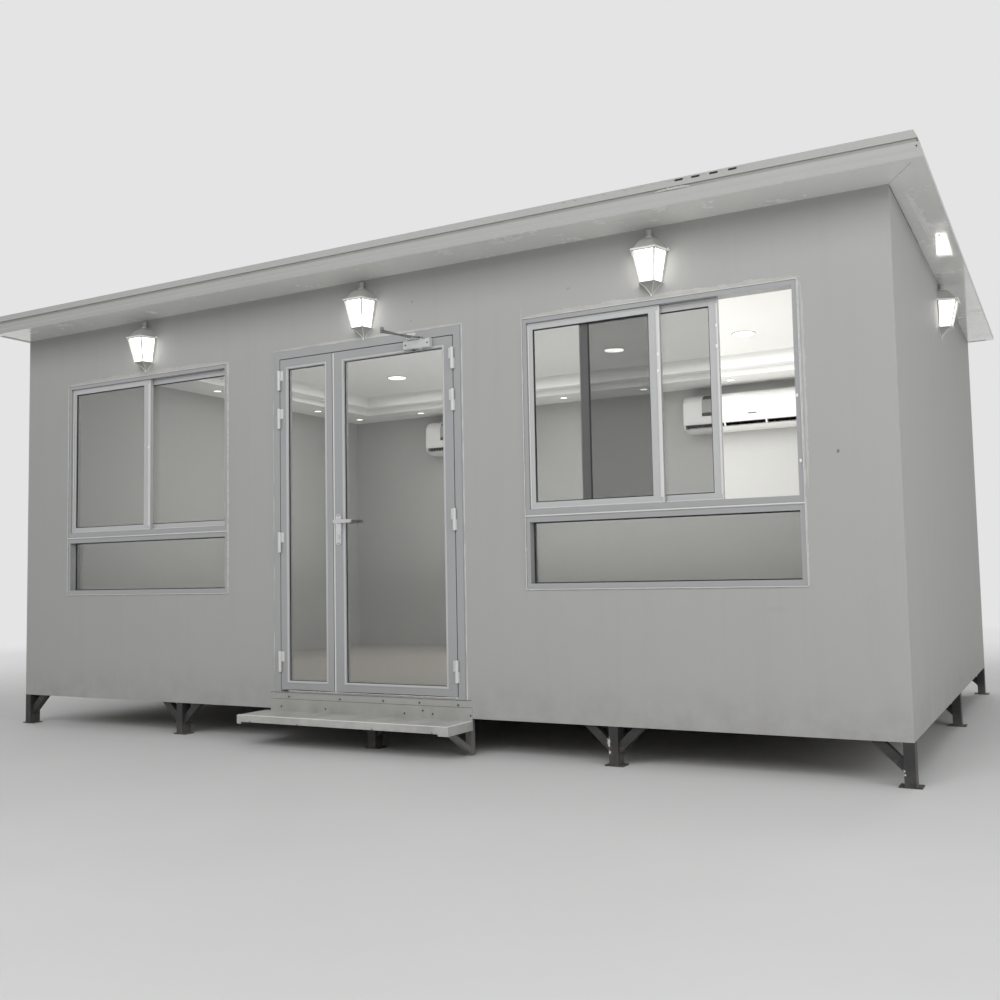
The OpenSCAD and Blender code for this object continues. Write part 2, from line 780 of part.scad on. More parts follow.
module door_cover_strips() color("gainsboro") place() {
  split = floor_top - upper_cover;
  block([door_left, 0, wall_foot], [door_right, skirt_thickness, floor_top]);
  block([door_left - cover_lap, -cover_thickness, step_height], [door_right + cover_lap, 0, split]);
}

// the step: a sheet-metal tread with turned-down edges and a small return along their feet
module step_tread() color("white") place() difference() {
  block([step_left, -step_reach, step_height - step_lip], [step_right, 0, step_height]);
  block([step_left + step_sheet, -step_reach + step_sheet, step_height - step_lip + step_sheet],
    [step_right - step_sheet, past, step_height - step_sheet]);
  block([step_left + step_return, -step_reach + step_return, step_height - step_lip - past],
    [step_right - step_return, past, step_height - step_sheet]);
  block([step_left + lip_left, -step_reach - past, step_height - step_lip - past],
    [step_right - lip_right, -step_reach + step_return + past, step_height - step_lip + lip_drop]);
}

// brackets under the step: a braced foot at the right end and two arms from the floor frame
module step_brackets() color("gray") place() {
  top = step_height - step_sheet;
  reach = step_reach - step_return - fit_gap;
  joint = skirt_thickness + past;
  translate([step_right - step_return - fit_gap - arm_side, 0, 0]) {
    block([0, skirt_thickness, 0], [arm_side, skirt_thickness + foot_side, wall_foot]);
    translate([arm_side, 0, 0]) rotate([90, 0, -90]) linear_extrude(arm_side)
      polygon([[-joint, foot_rise], [-joint, foot_rise + strut_width], [reach - strut_width, top - arm_rail],
        [-joint, top - arm_rail], [-joint, top], [reach, top], [reach, top - arm_rail]]);
  }
  for (x0 = [step_left + arm_inset, step_left + arm_inset + arm_spacing]) {
    block([x0, -reach, top - arm_side], [x0 + arm_side, skirt_thickness + frame_flange, top]);
    block([x0, 0, top - past], [x0 + arm_side, skirt_thickness + frame_flange, wall_foot]);
  }
}

// lower knuckles with their pins, on the frame
module frame_hinge(x, z, side) {
  translate([x, hinge_y, z - knuckle - knuckle_gap / 2]) {
    cylinder(d = barrel, h = knuckle);
    cylinder(d = hinge_pin, h = 2 * knuckle - 2 * pin_cover);
  }
  wing = barrel / 2 - past;
  x0 = side > 0 ? x + leaf_gap / 2 : x - leaf_gap / 2 - wing;
  block([x0, hinge_y, z - knuckle - knuckle_gap / 2], [x0 + wing, frame_front, z - knuckle_gap / 2]);
}

module frame_hinges() color("white") place() {
  for (z = left_hinge_zs) frame_hinge(hinge_left_x, floor_top + z, -1);
  for (z = right_hinge_zs) frame_hinge(hinge_right_x, floor_top + z, 1);
}

// upper knuckle with its flag on the leaf's face; side is the direction of the leaf
module leaf_hinge(x, z, side) difference() {
  union() {
    translate([x, hinge_y, z + knuckle_gap / 2]) cylinder(d = barrel, h = knuckle);
    translate([x, 0, 0]) mirror([side < 0 ? 1 : 0, 0, 0]) {
      block([leaf_gap / 2, frame_front - flag_thickness, z + knuckle_gap / 2],
        [leaf_gap / 2 + flag_width, frame_front, z + knuckle_gap / 2 + knuckle]);
      block([leaf_gap / 2, hinge_y, z + knuckle_gap / 2],
        [barrel / 2 - past, frame_front, z + knuckle_gap / 2 + knuckle]);
    }
  }
  translate([x, hinge_y, z - past]) cylinder(d = hinge_pin + 2 * pin_gap, h = knuckle - pin_cover);
}

module narrow_leaf_hinges() color("white") place() for (z = left_hinge_zs) leaf_hinge(hinge_left_x, floor_top + z, 1);
module wide_leaf_hinges() color("white") place() for (z = right_hinge_zs) leaf_hinge(hinge_right_x, floor_top + z, -1);

// a glazed leaf between x0 and x1 with its stiles, a glazing bead and a groove for the pane
module leaf_frame(x0, x1, left_stile, right_stile) {
  f = frame_front;
  g0 = [x0 + left_stile, leaf_foot + bottom_rail];
  g1 = [x1 - right_stile, leaf_top - top_rail];
  bite = glass_bite + fit_gap;
  difference() {
    block([x0, f, leaf_foot], [x1, f + leaf_depth, leaf_top]);
    block([g0[0], f - past, g0[1]], [g1[0], f + leaf_depth + past, g1[1]]);
    block([g0[0] - bead_width, f - past, g0[1] - bead_width], [g1[0] + bead_width, f + bead_step, g1[1] + bead_width]);
    block([g0[0] - bite, f + glass_set_back - fit_gap, g0[1] - bite],
      [g1[0] + bite, f + glass_set_back + door_glass + fit_gap, g1[1] + bite]);
  }
}

module leaf_glass(x0, x1, left_stile, right_stile)
  block([x0 + left_stile - glass_bite, frame_front + glass_set_back, leaf_foot + bottom_rail - glass_bite],
    [x1 - right_stile + glass_bite, frame_front + glass_set_back + door_glass, leaf_top - top_rail + glass_bite]);

narrow_x0 = leaf_left + leaf_gap / 2;
narrow_x1 = meeting_line - leaf_gap / 2;
wide_x0 = meeting_line + leaf_gap / 2;
wide_x1 = leaf_right - leaf_gap / 2;

module narrow_leaf_frame() color("lightslategray") place()
  leaf_frame(narrow_x0, narrow_x1, narrow_stile, narrow_lock_stile);
module narrow_leaf_glass() color("lightblue", 0.5) place()
  leaf_glass(narrow_x0, narrow_x1, narrow_stile, narrow_lock_stile);

module spindle_bore() translate([lever_x, 0, lever_z]) rotate([90, 0, 0])
  cylinder(d = spindle + 2 * spindle_gap, h = 4 * leaf_depth, center = true);

module wide_leaf_frame() color("lightslategray") place() difference() {
  leaf_frame(wide_x0, wide_x1, lock_stile, hinge_stile);
  spindle_bore();
}
module wide_leaf_glass() color("lightblue", 0.5) place() leaf_glass(wide_x0, wide_x1, lock_stile, hinge_stile);

// outline of a plate with round ends, from the spindle's centre
module lock_outline(inset) {
  r = plate_width / 2 - inset;
  hi = plate_above - plate_width / 2;
  lo = -plate_below + plate_width / 2;
  translate([0, hi]) circle(r = r);
  translate([0, lo]) circle(r = r);
  translate([-r, lo]) square([2 * r, hi - lo]);
}

// the plate in two steps with the rose of the lever and the collar of the key cylinder
module lock_plate() difference() {
  translate([lever_x, 0, lever_z]) rotate([90, 0, 0]) {
    linear_extrude(lock_plate_thickness - plate_step) lock_outline(0);
    linear_extrude(lock_plate_thickness) lock_outline(plate_step);
    translate([0, -key_drop, 0]) cylinder(d = key_collar, h = lock_plate_thickness + collar_proud);
  }
  spindle_bore();
  translate([lever_x - key_slot / 2, -lock_plate_thickness - collar_proud - past, lever_z - key_drop - key_collar / 4])
    cube([key_slot, key_depth + past, key_collar / 2]);
}

module lock_plates() color("white") place() {
  translate([0, frame_front, 0]) lock_plate();
  translate([0, frame_front + leaf_depth, 0]) mirror([0, 1, 0]) lock_plate();
}

// the rose, neck and hand of the lever on one face; the hand tapers to its cut corners
module lever_hand() {
  reach = lock_plate_thickness + lever_reach;
  root = lever_thickness + lever_swell;
  end = lever_length - lever_corner;
  flat = lever_tip / 2 - lever_corner;
  rotate([90, 0, 0]) {
    cylinder(d = spindle, h = reach);
    translate([0, 0, lock_plate_thickness + rose_gap])
      cylinder(d1 = lever_rose, d2 = lever_rose - rose_taper, h = rose_height);
    translate([0, 0, lock_plate_thickness + rose_height]) cylinder(d = lever_thickness, h = lever_reach - rose_height);
    translate([0, 0, reach - lever_depth]) linear_extrude(lever_depth) {
      circle(d = root);
      polygon([[0, -root / 2], [end, -lever_tip / 2], [lever_length, -flat],
        [lever_length, flat], [end, lever_tip / 2], [0, root / 2]]);
    }
  }
}

module door_lever() color("silver") place() {
  translate([lever_x, frame_front, lever_z]) lever_hand();
  translate([lever_x, frame_front + leaf_depth, lever_z]) mirror([0, 1, 0]) lever_hand();
  translate([lever_x, frame_front + leaf_depth + past, lever_z]) rotate([90, 0, 0])
    cylinder(d = spindle, h = leaf_depth + 2 * past);
}

// the closer's housing: a rounded bar between two end caps, on a plate against the leaf
module closer_section(inset) {
  wide = closer_thickness - closer_plate - 2 * inset;
  high = closer_height - 2 * inset;
  r = closer_round;
  square([wide - 2 * r, high], center = true);
  square([wide, high - 2 * r], center = true);
  for (x = [-1, 1], y = [-1, 1]) translate([x * (wide / 2 - r), y * (high / 2 - r)]) circle(r = r);
}
module closer_body() color("silver") place() difference() {
  union() {
    translate([closer_left, closer_y, (closer_foot + closer_top) / 2]) rotate([90, 0, 90]) {
      linear_extrude(closer_length) closer_section(cap_step);
      linear_extrude(closer_cap) closer_section(0);
      translate([0, 0, closer_length - closer_cap]) linear_extrude(closer_cap) closer_section(0);
    }
    block([closer_left + closer_cap, frame_front - closer_plate - cap_step - past, closer_foot + closer_plate_inset],
      [closer_left + closer_length - closer_cap, frame_front, closer_top - closer_plate_inset]);
    translate([closer_x, closer_y, closer_foot - cylinder_proud])
      cylinder(d = closer_thickness - closer_plate - 2 * cylinder_inset, h = closer_height + 2 * cylinder_proud);
  }
  translate([closer_x, closer_y, closer_top - axle_depth - axle_gap])
    cylinder(d = closer_axle + 2 * spindle_gap, h = 2 * closer_height);
}

// a flat bar with round ends between two points
module bar(p, q, z, wide, thick) {
  run = norm([q[0] - p[0], q[1] - p[1]]);
  translate([p[0], p[1], z]) rotate([0, 0, atan2(q[1] - p[1], q[0] - p[0])]) linear_extrude(thick) {
    circle(d = wide);
    translate([0, -wide / 2]) square([run, wide]);
    translate([run, 0]) circle(d = wide);
  }
}

module closer_arm() color("dimgray") place() {
  translate([closer_x, closer_y, closer_top - axle_depth]) cylinder(d = closer_axle, h = axle_depth + arm_rise + past);
  translate([closer_x, closer_y, closer_top + boss_gap]) cylinder(d = arm_boss, h = arm_rise - boss_gap + past);
  bar([closer_x, closer_y], [elbow_x, elbow_y], arm_z, arm_width, arm_thickness);
}

module closer_forearm() color("dimgray") place() difference() {
  union() {
    bar([bracket_x, bracket_y], [elbow_x, elbow_y], forearm_z, arm_width - forearm_slim, arm_thickness);
    translate([elbow_x, elbow_y, forearm_z]) cylinder(d = arm_boss, h = arm_thickness + elbow_cap);
  }
  translate([bracket_x, bracket_y, forearm_z - past])
    cylinder(d = bracket_pin + 2 * pin_gap, h = arm_thickness + 2 * past);
}

// bracket on the door frame's head: a foot plate and a shelf with the pin of the forearm
module closer_bracket() color("silver") place() {
  top = forearm_z + arm_thickness + shelf_gap;
  block([bracket_x - bracket_width / 2, frame_front - shelf_thickness, leaf_top + leaf_gap + bracket_margin],
    [bracket_x + bracket_width / 2, frame_front, door_top - bracket_margin]);
  block([bracket_x - arm_boss / 2, bracket_y, top],
    [bracket_x + arm_boss / 2, frame_front - shelf_thickness / 2, top + shelf_thickness]);
  translate([bracket_x, bracket_y, top]) cylinder(d = arm_boss, h = shelf_thickness);
  translate([bracket_x, bracket_y, forearm_z - shelf_gap])
    cylinder(d = bracket_pin, h = arm_thickness + 2 * shelf_gap + past);
}

// window frame with a fixed lower light below a transom and two tracks above it
module window_frame(x) {
  x1 = x + window_width;
  difference() {
    union() {
      block([x, -lip_thickness, window_foot], [x1, wall_thickness, window_top]);
      block([x - lip_width, -lip_thickness, window_foot - lip_width], [x1 + lip_width, 0, window_top + lip_width]);
    }
    block([x + window_face, -lip_thickness - past, upper_foot],
      [x1 - window_face, wall_thickness + past, window_top - window_face]);
    block([x + window_face, -lip_thickness - past, window_foot + lower_sill],
      [x1 - window_face, wall_thickness + past, window_foot + lower_light]);
    lower_groove(x, fit_gap);
  }
  block([x, -lip_thickness - drip_size, upper_foot - transom / 2 - drip_size], [x1, 0, upper_foot - transom / 2]);
}

glass_y = sash_set_back + sash_depth + sash_gap + sash_depth / 2 - window_glass_thickness / 2;
module lower_groove(x, gap)
  block([x + window_face - glass_bite - gap, glass_y - gap, window_foot + lower_sill - glass_bite - gap],
    [x + window_width - window_face + glass_bite + gap, glass_y + window_glass_thickness + gap,
      window_foot + lower_light + glass_bite + gap]);

// a sliding sash with its low front corner at x, y; outer and meeting stile by side
module sash(x, y, left_stile, right_stile) {
  z0 = upper_foot + fit_gap;
  z1 = window_top - window_face - fit_gap;
  difference() {
    block([x, y, z0], [x + sash_width, y + sash_depth, z1]);
    block([x + left_stile, y - past, z0 + sash_rail],
      [x + sash_width - right_stile, y + sash_depth + past, z1 - sash_rail]);
    sash_pane(x, y, left_stile, right_stile, fit_gap);
  }
}
module sash_pane(x, y, left_stile, right_stile, gap) {
  z0 = upper_foot + fit_gap + sash_rail;
  z1 = window_top - window_face - fit_gap - sash_rail;
  m = y + sash_depth / 2 - window_glass_thickness / 2;
  block([x + left_stile - glass_bite - gap, m - gap, z0 - glass_bite - gap],
    [x + sash_width - right_stile + glass_bite + gap, m + window_glass_thickness + gap, z1 + glass_bite + gap]);
}

// where the front sash and the rear sash of a window stand
function front_sash_x(x) = x + window_face + fit_gap;
function rear_sash_x(x, open) = x + window_width - window_face - fit_gap - sash_width - open;
front_sash_y = sash_set_back;
rear_sash_y = sash_set_back + sash_depth + sash_gap;

module window_sashes(x, open) {
  sash(front_sash_x(x), front_sash_y, sash_stile, meeting_stile);
  sash(rear_sash_x(x, open), rear_sash_y, rear_stile, open > 0 ? pull_stile : sash_stile);
}

module left_window_frame() color("lightslategray") place() window_frame(window_a_left);
module right_window_frame() color("lightslategray") place() window_frame(window_b_left);
module left_window_sashes() color("slategray") place() window_sashes(window_a_left, 0);
module right_window_sashes() color("slategray") place() window_sashes(window_b_left, window_b_open);

module window_panes(x, open) {
  lower_groove(x, 0);
  sash_pane(front_sash_x(x), front_sash_y, sash_stile, meeting_stile, 0);
  sash_pane(rear_sash_x(x, open), rear_sash_y, rear_stile, open > 0 ? pull_stile : sash_stile, 0);
}
module window_glass() color("lightblue", 0.5) place() {
  window_panes(window_a_left, 0);
  window_panes(window_b_left, window_b_open);
}

// half a hexagon in plan, drawn in by a wall and cut off behind a back line
module lantern_plan(inset = 0, back = 0) intersection() {
  offset(delta = -inset) polygon([[-lantern_width / 2, 0], [-lantern_front / 2, -lantern_depth],
    [lantern_front / 2, -lantern_depth], [lantern_width / 2, 0], [lantern_front / 2, lantern_depth],
    [-lantern_front / 2, lantern_depth]]);
  translate([-lantern_width, -2 * lantern_depth]) square([2 * lantern_width, 2 * lantern_depth - back]);
}

// a skin through rings of the lantern's plan, each ring given by its height and its scale
lantern_ring = [[-lantern_width / 2, 0], [-lantern_front / 2, -lantern_depth], [lantern_front / 2, -lantern_depth],
  [lantern_width / 2, 0]];
module lantern_skin(rings) {
  last = 4 * (len(rings) - 1);
  polyhedron([for (r = rings, p = lantern_ring) [p[0] * r[1], p[1] * r[1], r[0]]],
    concat([[0, 1, 2, 3]],
      [for (k = [0 : len(rings) - 2], i = [0 : 3]) let (j = (i + 1) % 4)
        [4 * k + i, 4 * (k + 1) + i, 4 * (k + 1) + j, 4 * k + j]],
      [[last + 3, last + 2, last + 1, last]]));
}

// the glazed height between the foot ring and the rim, carried up the tapering sides and set into both
module glazed(set) translate([0, 0, -rim_height - pane_height - set])
  linear_extrude(pane_height + 2 * set, scale = rim_scale / lantern_taper) scale(lantern_taper) children();

// four ribs: the plan's ring round the panes, kept at its corners only
module rib_plan() difference() {
  lantern_plan();
  lantern_plan(rib, back_plate);
  translate([-lantern_front / 2 + rib, -2 * lantern_depth])
    square([lantern_front - 2 * rib, 2 * lantern_depth - back_plate]);
  translate([-lantern_width, -lantern_depth + rib]) square([2 * lantern_width, lantern_depth - rib - back_plate - rib]);
}

// the cage: back plate, ribs, foot, drawn-out point, rim, bell cap and stem, one casting
module lantern_cage() {
  foot = -rim_height - pane_height;
  tip = foot - foot_ring - point_height;
  steps = len(point_scales) - 1;
  crowns = len(cap_scales) - 1;
  glazed(foot_ring / 2) rib_plan();
  lantern_skin(concat(
    [for (k = [0 : steps]) [tip + k * point_height / steps, lantern_taper * point_scales[k]]],
    [[foot - foot_ring / 2, lantern_taper * ring_scale], [foot, lantern_taper * ring_scale]]));
  lantern_skin(concat([[-rim_height, rim_scale * rim_lip], [-rim_height / 2, 1], [0, 1]],
    [for (k = [0 : crowns]) [past + k * (cap_height - past) / crowns, cap_scales[k]]]));
  translate([0, -stem_width / 2 - past, cap_height - past])
    cylinder(d1 = stem_foot, d2 = stem_width, h = stem_height + past);
}

// three opal panes folded from one sheet, seated behind the ribs
module lantern_glass() translate([0, 0, -rim_height - pane_height + fit_gap])
  linear_extrude(pane_height - 2 * fit_gap, scale = pane_scale / lantern_taper) scale(lantern_taper)
  difference() {
    lantern_plan(rib + pane_gap, back_plate + pane_gap);
    lantern_plan(rib + pane_gap + opal_thickness, 0);
  }

module at_lanterns() {
  for (x = [lantern_first, length / 2 + lantern_second, length - lantern_third])
    translate([x, 0, lantern_z]) children();
  translate([length, lantern_side, lantern_z]) rotate([0, 0, 90]) children();
}
module lantern_cages() color("darkgray") place() at_lanterns() lantern_cage();
module lantern_panes() color("lightyellow") place() at_lanterns() lantern_glass();

// wall-mounted indoor units: a rounded casing with the outlet slot
module indoor_unit(x) translate([x, depth - wall_thickness, floor_top + unit_base]) rotate([90, 0, 90])
  linear_extrude(unit_length) difference() {
    polygon(concat([[0, unit_height], [0, 0], [unit_round - unit_depth, 0]],
      [for (a = [0 : 15 : 90]) [unit_round - unit_depth - unit_round * sin(a), unit_belly * (1 - cos(a))]],
      [for (a = [0 : 15 : 90]) [(unit_depth - unit_crown) * (1 - cos(a)) - unit_depth,
        unit_shoulder + (unit_height - unit_shoulder) * sin(a)]]));
    translate([-unit_depth - past, outlet_foot]) square([outlet_reach, outlet_slot]);
  }
module indoor_units() color("whitesmoke") place() {
  indoor_unit(unit_left);
  indoor_unit(length - unit_right - unit_length);
}

base_frame();
floor_joists();
floor_board();
front_legs();
middle_legs();
back_legs();
front_wall_left();
front_wall_right();
front_wall_over_door();
back_wall();
left_wall();
right_wall();
roof_deck();
soffit();
front_fascia();
right_fascia();
plain_edge_trim();
ceiling_border();
ceiling_centre();
ceiling_lights();
door_frame();
door_cover_strips();
step_tread();
step_brackets();
frame_hinges();
closer_bracket();
narrow_leaf_frame();
narrow_leaf_glass();
narrow_leaf_hinges();
wide_leaf_frame();
wide_leaf_glass();
wide_leaf_hinges();
lock_plates();
closer_body();
door_lever();
closer_arm();
closer_forearm();
left_window_frame();
left_window_sashes();
right_window_frame();
right_window_sashes();
window_glass();
lantern_cages();
lantern_panes();
indoor_units();
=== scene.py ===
# Guard booth: finishes, small fittings, studio and camera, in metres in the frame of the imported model.
import math
import bpy
import numpy as np
from mathutils import Matrix, Vector


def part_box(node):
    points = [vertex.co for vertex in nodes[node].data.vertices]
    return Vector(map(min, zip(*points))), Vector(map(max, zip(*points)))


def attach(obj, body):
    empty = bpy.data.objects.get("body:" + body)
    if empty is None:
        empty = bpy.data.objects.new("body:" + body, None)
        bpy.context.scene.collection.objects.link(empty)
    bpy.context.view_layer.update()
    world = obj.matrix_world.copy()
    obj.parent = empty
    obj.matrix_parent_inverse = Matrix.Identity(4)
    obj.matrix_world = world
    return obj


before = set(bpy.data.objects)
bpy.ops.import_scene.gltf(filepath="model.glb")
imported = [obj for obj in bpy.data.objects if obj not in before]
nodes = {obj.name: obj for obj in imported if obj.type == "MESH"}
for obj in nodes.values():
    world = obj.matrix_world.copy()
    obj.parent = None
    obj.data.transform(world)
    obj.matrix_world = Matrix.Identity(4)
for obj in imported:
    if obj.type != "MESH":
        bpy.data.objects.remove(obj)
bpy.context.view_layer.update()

print("frame loaded", len(nodes))

# the booth's own corner: the left end of the front wall, on the ground
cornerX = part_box("left_wall")[0].x
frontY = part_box("front_wall_left")[0].y
xAxis, yAxis, zAxis = np.eye(3)
backs = -yAxis  # the way out of the front wall
sunk = 0.0004  # how far an added piece reaches into what carries it


def at(x, y, z):
    return np.array([cornerX + x, frontY + y, z])


def solidBoxes(name):
    # lowest and highest corner of each loose solid of a node, from left to right, then upwards
    mesh = nodes[name].data
    points = np.empty(len(mesh.vertices) * 3)
    mesh.vertices.foreach_get("co", points)
    corners = np.empty(len(mesh.loops), int)
    mesh.loops.foreach_get("vertex_index", corners)
    shared, index = np.unique(np.round(points.reshape(-1, 3), 5), axis=0, return_inverse=True)
    faces = index.ravel()[corners].reshape(-1, 3)
    label = np.arange(len(shared))
    while True:  # each point takes the lowest label among its neighbours until nothing changes
        fresh = label.copy()
        for column in range(3):
            np.minimum.at(fresh, faces[:, column], label[faces].min(axis=1))
        fresh = fresh[fresh]
        if (fresh == label).all():
            break
        label = fresh
    boxes = [(shared[label == k].min(axis=0), shared[label == k].max(axis=0)) for k in np.unique(label)]
    return sorted(boxes, key=lambda box: tuple(np.round(box[0][[0, 2, 1]], 3)))


# surfaces: every shell is a list of points with its four-sided and three-sided faces
def gridShell(rings, ringLoop=False):
    # each ring is closed round itself and joined to the next; unless the rings run in a loop,
    # the first and the last are closed by a fan round their middle
    count, around = rings.shape[:2]
    i = np.arange(count if ringLoop else count - 1)[:, None]
    j = np.arange(around)[None, :]
    nextI, nextJ = (i + 1) % count, (j + 1) % around
    row, nextRow = i * around, nextI * around
    quads = np.stack([row + j, row + nextJ, nextRow + nextJ, nextRow + j], axis=-1)
    points = rings.reshape(-1, 3)
    groups = [quads.reshape(-1, 4)]
    if not ringLoop:
        k = np.arange(around)
        turn = (k + 1) % around
        low = np.stack([np.full(around, len(points)), turn, k], axis=1)
        last = len(points) - around
        high = np.stack([np.full(around, len(points) + 1), last + k, last + turn], axis=1)
        points = np.vstack([points, rings[0].mean(axis=0), rings[-1].mean(axis=0)])
        groups.append(np.vstack([low, high]))
    return points, groups


def volumeOf(points, groups):  # six times the volume inside, as the sum of the faces' corner products
    total = 0.0
    for group in groups:
        first = points[group[:, 0]]
        for k in range(1, group.shape[1] - 1):
            total += (first * np.cross(points[group[:, k]], points[group[:, k + 1]])).sum()
    return total


def addPiece(name, shells, material, body="booth", sharp=35.0):
    points, faces, start = [], [], 0
    for shellPoints, groups in shells:
        inward = volumeOf(shellPoints - shellPoints.mean(axis=0), groups) < 0
        for group in groups:
            faces += ((group[:, ::-1] if inward else group) + start).tolist()
        points.append(shellPoints)
        start += len(shellPoints)
    mesh = bpy.data.meshes.new(name)
    mesh.from_pydata(np.vstack(points).tolist(), [], faces)
    mesh.polygons.foreach_set("use_smooth", np.ones(len(mesh.polygons), bool))
    mesh.set_sharp_from_angle(angle=math.radians(sharp))
    mesh.materials.append(material)
    piece = bpy.data.objects.new(name, mesh)
    bpy.context.scene.collection.objects.link(piece)
    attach(piece, body)
    return piece


def hoop(low, high, front, profile):
    # a profile carried round an upright rectangle with mitred corners:
    # outwards from its edge and forwards from y
    signs = np.array([(-1, -1), (1, -1), (1, 1), (-1, 1)])
    corners = np.array([(low[0], low[1]), (high[0], low[1]), (high[0], high[1]), (low[0], high[1])])
    profile = np.asarray(profile)
    rings = np.empty((4, len(profile), 3))
    rings[:, :, [0, 2]] = corners[:, None] + signs[:, None] * profile[None, :, :1]
    rings[:, :, 1] = front - profile[None, :, 1]
    return gridShell(rings, ringLoop=True)


def run(path, side, rise, profile, swell=None):
    # a closed profile carried along a path: path + side * across + rise * height, swollen ring by ring
    path = np.asarray(path, float)
    side, rise = np.broadcast_to(side, path.shape), np.broadcast_to(rise, path.shape)
    profile = np.broadcast_to(np.asarray(profile, float), (len(path), len(profile), 2))
    if swell is not None:
        profile = profile * np.asarray(swell)[:, None, None]
    return gridShell(path[:, None] + side[:, None] * profile[..., :1] + rise[:, None] * profile[..., 1:])


def turned(profile, centre, axis, count=20):
    # radius and height turned round an axis through the centre
    axis = np.asarray(axis, float) / np.linalg.norm(axis)
    first = np.cross(axis, xAxis if abs(axis[0]) < 0.9 else yAxis)
    first /= np.linalg.norm(first)
    angle = np.arange(count) * 2 * math.pi / count
    circle = np.outer(np.cos(angle), first) + np.outer(np.sin(angle), np.cross(axis, first))
    profile = np.asarray(profile, float)
    return gridShell(centre + profile[:, :1, None] * circle + profile[:, 1:, None] * axis)


def outline(width, height, radius, steps=4):
    # a rounded rectangle: four corner middles plus radius * (cos, sin), anticlockwise
    angle = (np.arange(4)[:, None] + np.linspace(0, 1, steps + 1)[None, :]) * math.pi / 2
    signs = np.array([(1, 1), (-1, 1), (-1, -1), (1, -1)])[:, None]
    middle = signs * (np.array([width, height]) / 2 - radius)
    return (middle + radius * np.stack([np.cos(angle), np.sin(angle)], axis=-1)).reshape(-1, 2)


def pad(centre, size, corner, profile, right=xAxis, up=zAxis):
    # a rounded slab: its outline is drawn in by the profile's inset at each height above the centre
    out = np.cross(right, up)
    rings = []
    for inset, height in profile:
        flat = outline(size[0] - 2 * inset, size[1] - 2 * inset, max(corner - inset, 0.0002))
        rings.append(centre + flat[:, :1] * right + flat[:, 1:] * up + height * out)
    return gridShell(np.array(rings))


def wobble(t, seed, waves=5, fastest=9.0):
    # a wandering line between about 0 and 1: a sum of seeded sines over the way t
    dice = np.random.default_rng(seed)
    turns = dice.uniform(0.8, fastest, waves)[:, None] * 2 * math.pi
    phase = dice.uniform(0, 2 * math.pi, waves)[:, None]
    return 0.5 + np.sin(turns * t + phase).sum(axis=0) / (2.4 * math.sqrt(waves))


def halfRound(across, height, steps=6):
    # an upright half-ellipse on a base sunk a little into what carries it
    angle = np.linspace(0, math.pi, steps + 1)
    arch = np.stack([across * np.cos(angle), height * np.sin(angle)], axis=1)
    return np.vstack([[(across, -sunk)], arch, [(-across, -sunk)]])


def sealedEdge(low, high, front, bead, seed):
    # a lumpy bead round a rectangle: a half-ellipse whose width and height follow wandering lines
    middle, size = (np.add(low, high)) / 2, np.subtract(high, low)
    flat = outline(size[0], size[1], bead["corner"], 3) + middle
    flat = np.vstack([flat, flat[:1]])
    way = np.concatenate([[0], np.cumsum(np.linalg.norm(np.diff(flat, axis=0), axis=1))])
    count = int(way[-1] / bead["spacing"])
    along = np.arange(count) / count
    spots = np.stack([np.interp(along * way[-1], way, flat[:, k]) for k in range(2)], axis=1)
    tangent = np.roll(spots, -1, axis=0) - np.roll(spots, 1, axis=0)
    tangent /= np.linalg.norm(tangent, axis=1)[:, None]
    outward = np.stack([tangent[:, 1], 0 * along, -tangent[:, 0]], axis=1)
    loops = along * count / 12
    wide = bead["width"] * (0.65 + 0.7 * wobble(loops / 4, seed))
    tall = bead["rise"] * (0.55 + 0.8 * wobble(loops / 3, seed + 1))
    arch = halfRound(1.0, 1.0)
    path = np.stack([spots[:, 0], np.full(count, front), spots[:, 1]], axis=1)
    rings = (path[:, None] + outward[:, None] * (arch[None, :, :1] * wide[:, None, None] / 2)
             + backs * (arch[None, :, 1:] * tall[:, None, None]))
    return gridShell(rings, ringLoop=True)


def smear(start, end, side, out, width, rise, seed, count=48):
    # a ragged strip: one edge runs straight from start to end, the other wanders; it thins out to its ends
    t = np.linspace(0, 1, count)
    fade = np.sin(math.pi * np.clip(t, 0.002, 0.998)) ** 0.35
    wide = width * (0.45 + 0.35 * wobble(t, seed, 5, 9.0) + 0.35 * wobble(t, seed + 3, 16, 60.0)) * fade
    tall = rise * (0.5 + 0.7 * wobble(t, seed + 7, 6, 16.0)) * fade
    foot = -sunk / rise
    shape = np.array([(0, foot), (0, 0.5), (0.22, 1.0), (0.55, 0.75), (0.85, 0.35), (1.0, foot)])
    path = np.asarray(start) + t[:, None] * (np.asarray(end) - np.asarray(start))
    return gridShell(path[:, None] + side * (shape[None, :, :1] * wide[:, None, None])
                     + out * (shape[None, :, 1:] * tall[:, None, None]))


def blob(centre, radii, seed, rings=8, around=14):
    # a sphere drawn out by three radii, with a low wave of bumps over its angles
    tilt = np.linspace(0.12, math.pi - 0.12, rings)[:, None]
    turn = (np.arange(around) * 2 * math.pi / around)[None, :]
    dice = np.random.default_rng(seed).uniform(0, 6, 3)
    size = 1 + 0.1 * np.sin(2 * turn + dice[0]) * np.sin(tilt) + 0.08 * np.sin(3 * turn + 2 * tilt + dice[1])
    level = np.sin(tilt)
    ball = np.stack([level * np.cos(turn), level * np.sin(turn), np.cos(tilt) + 0 * turn], axis=-1)
    return gridShell(np.asarray(centre) + ball * size[..., None] * np.asarray(radii))


welding = {"step": 0.0022, "wave": 0.006, "swing": 0.16}


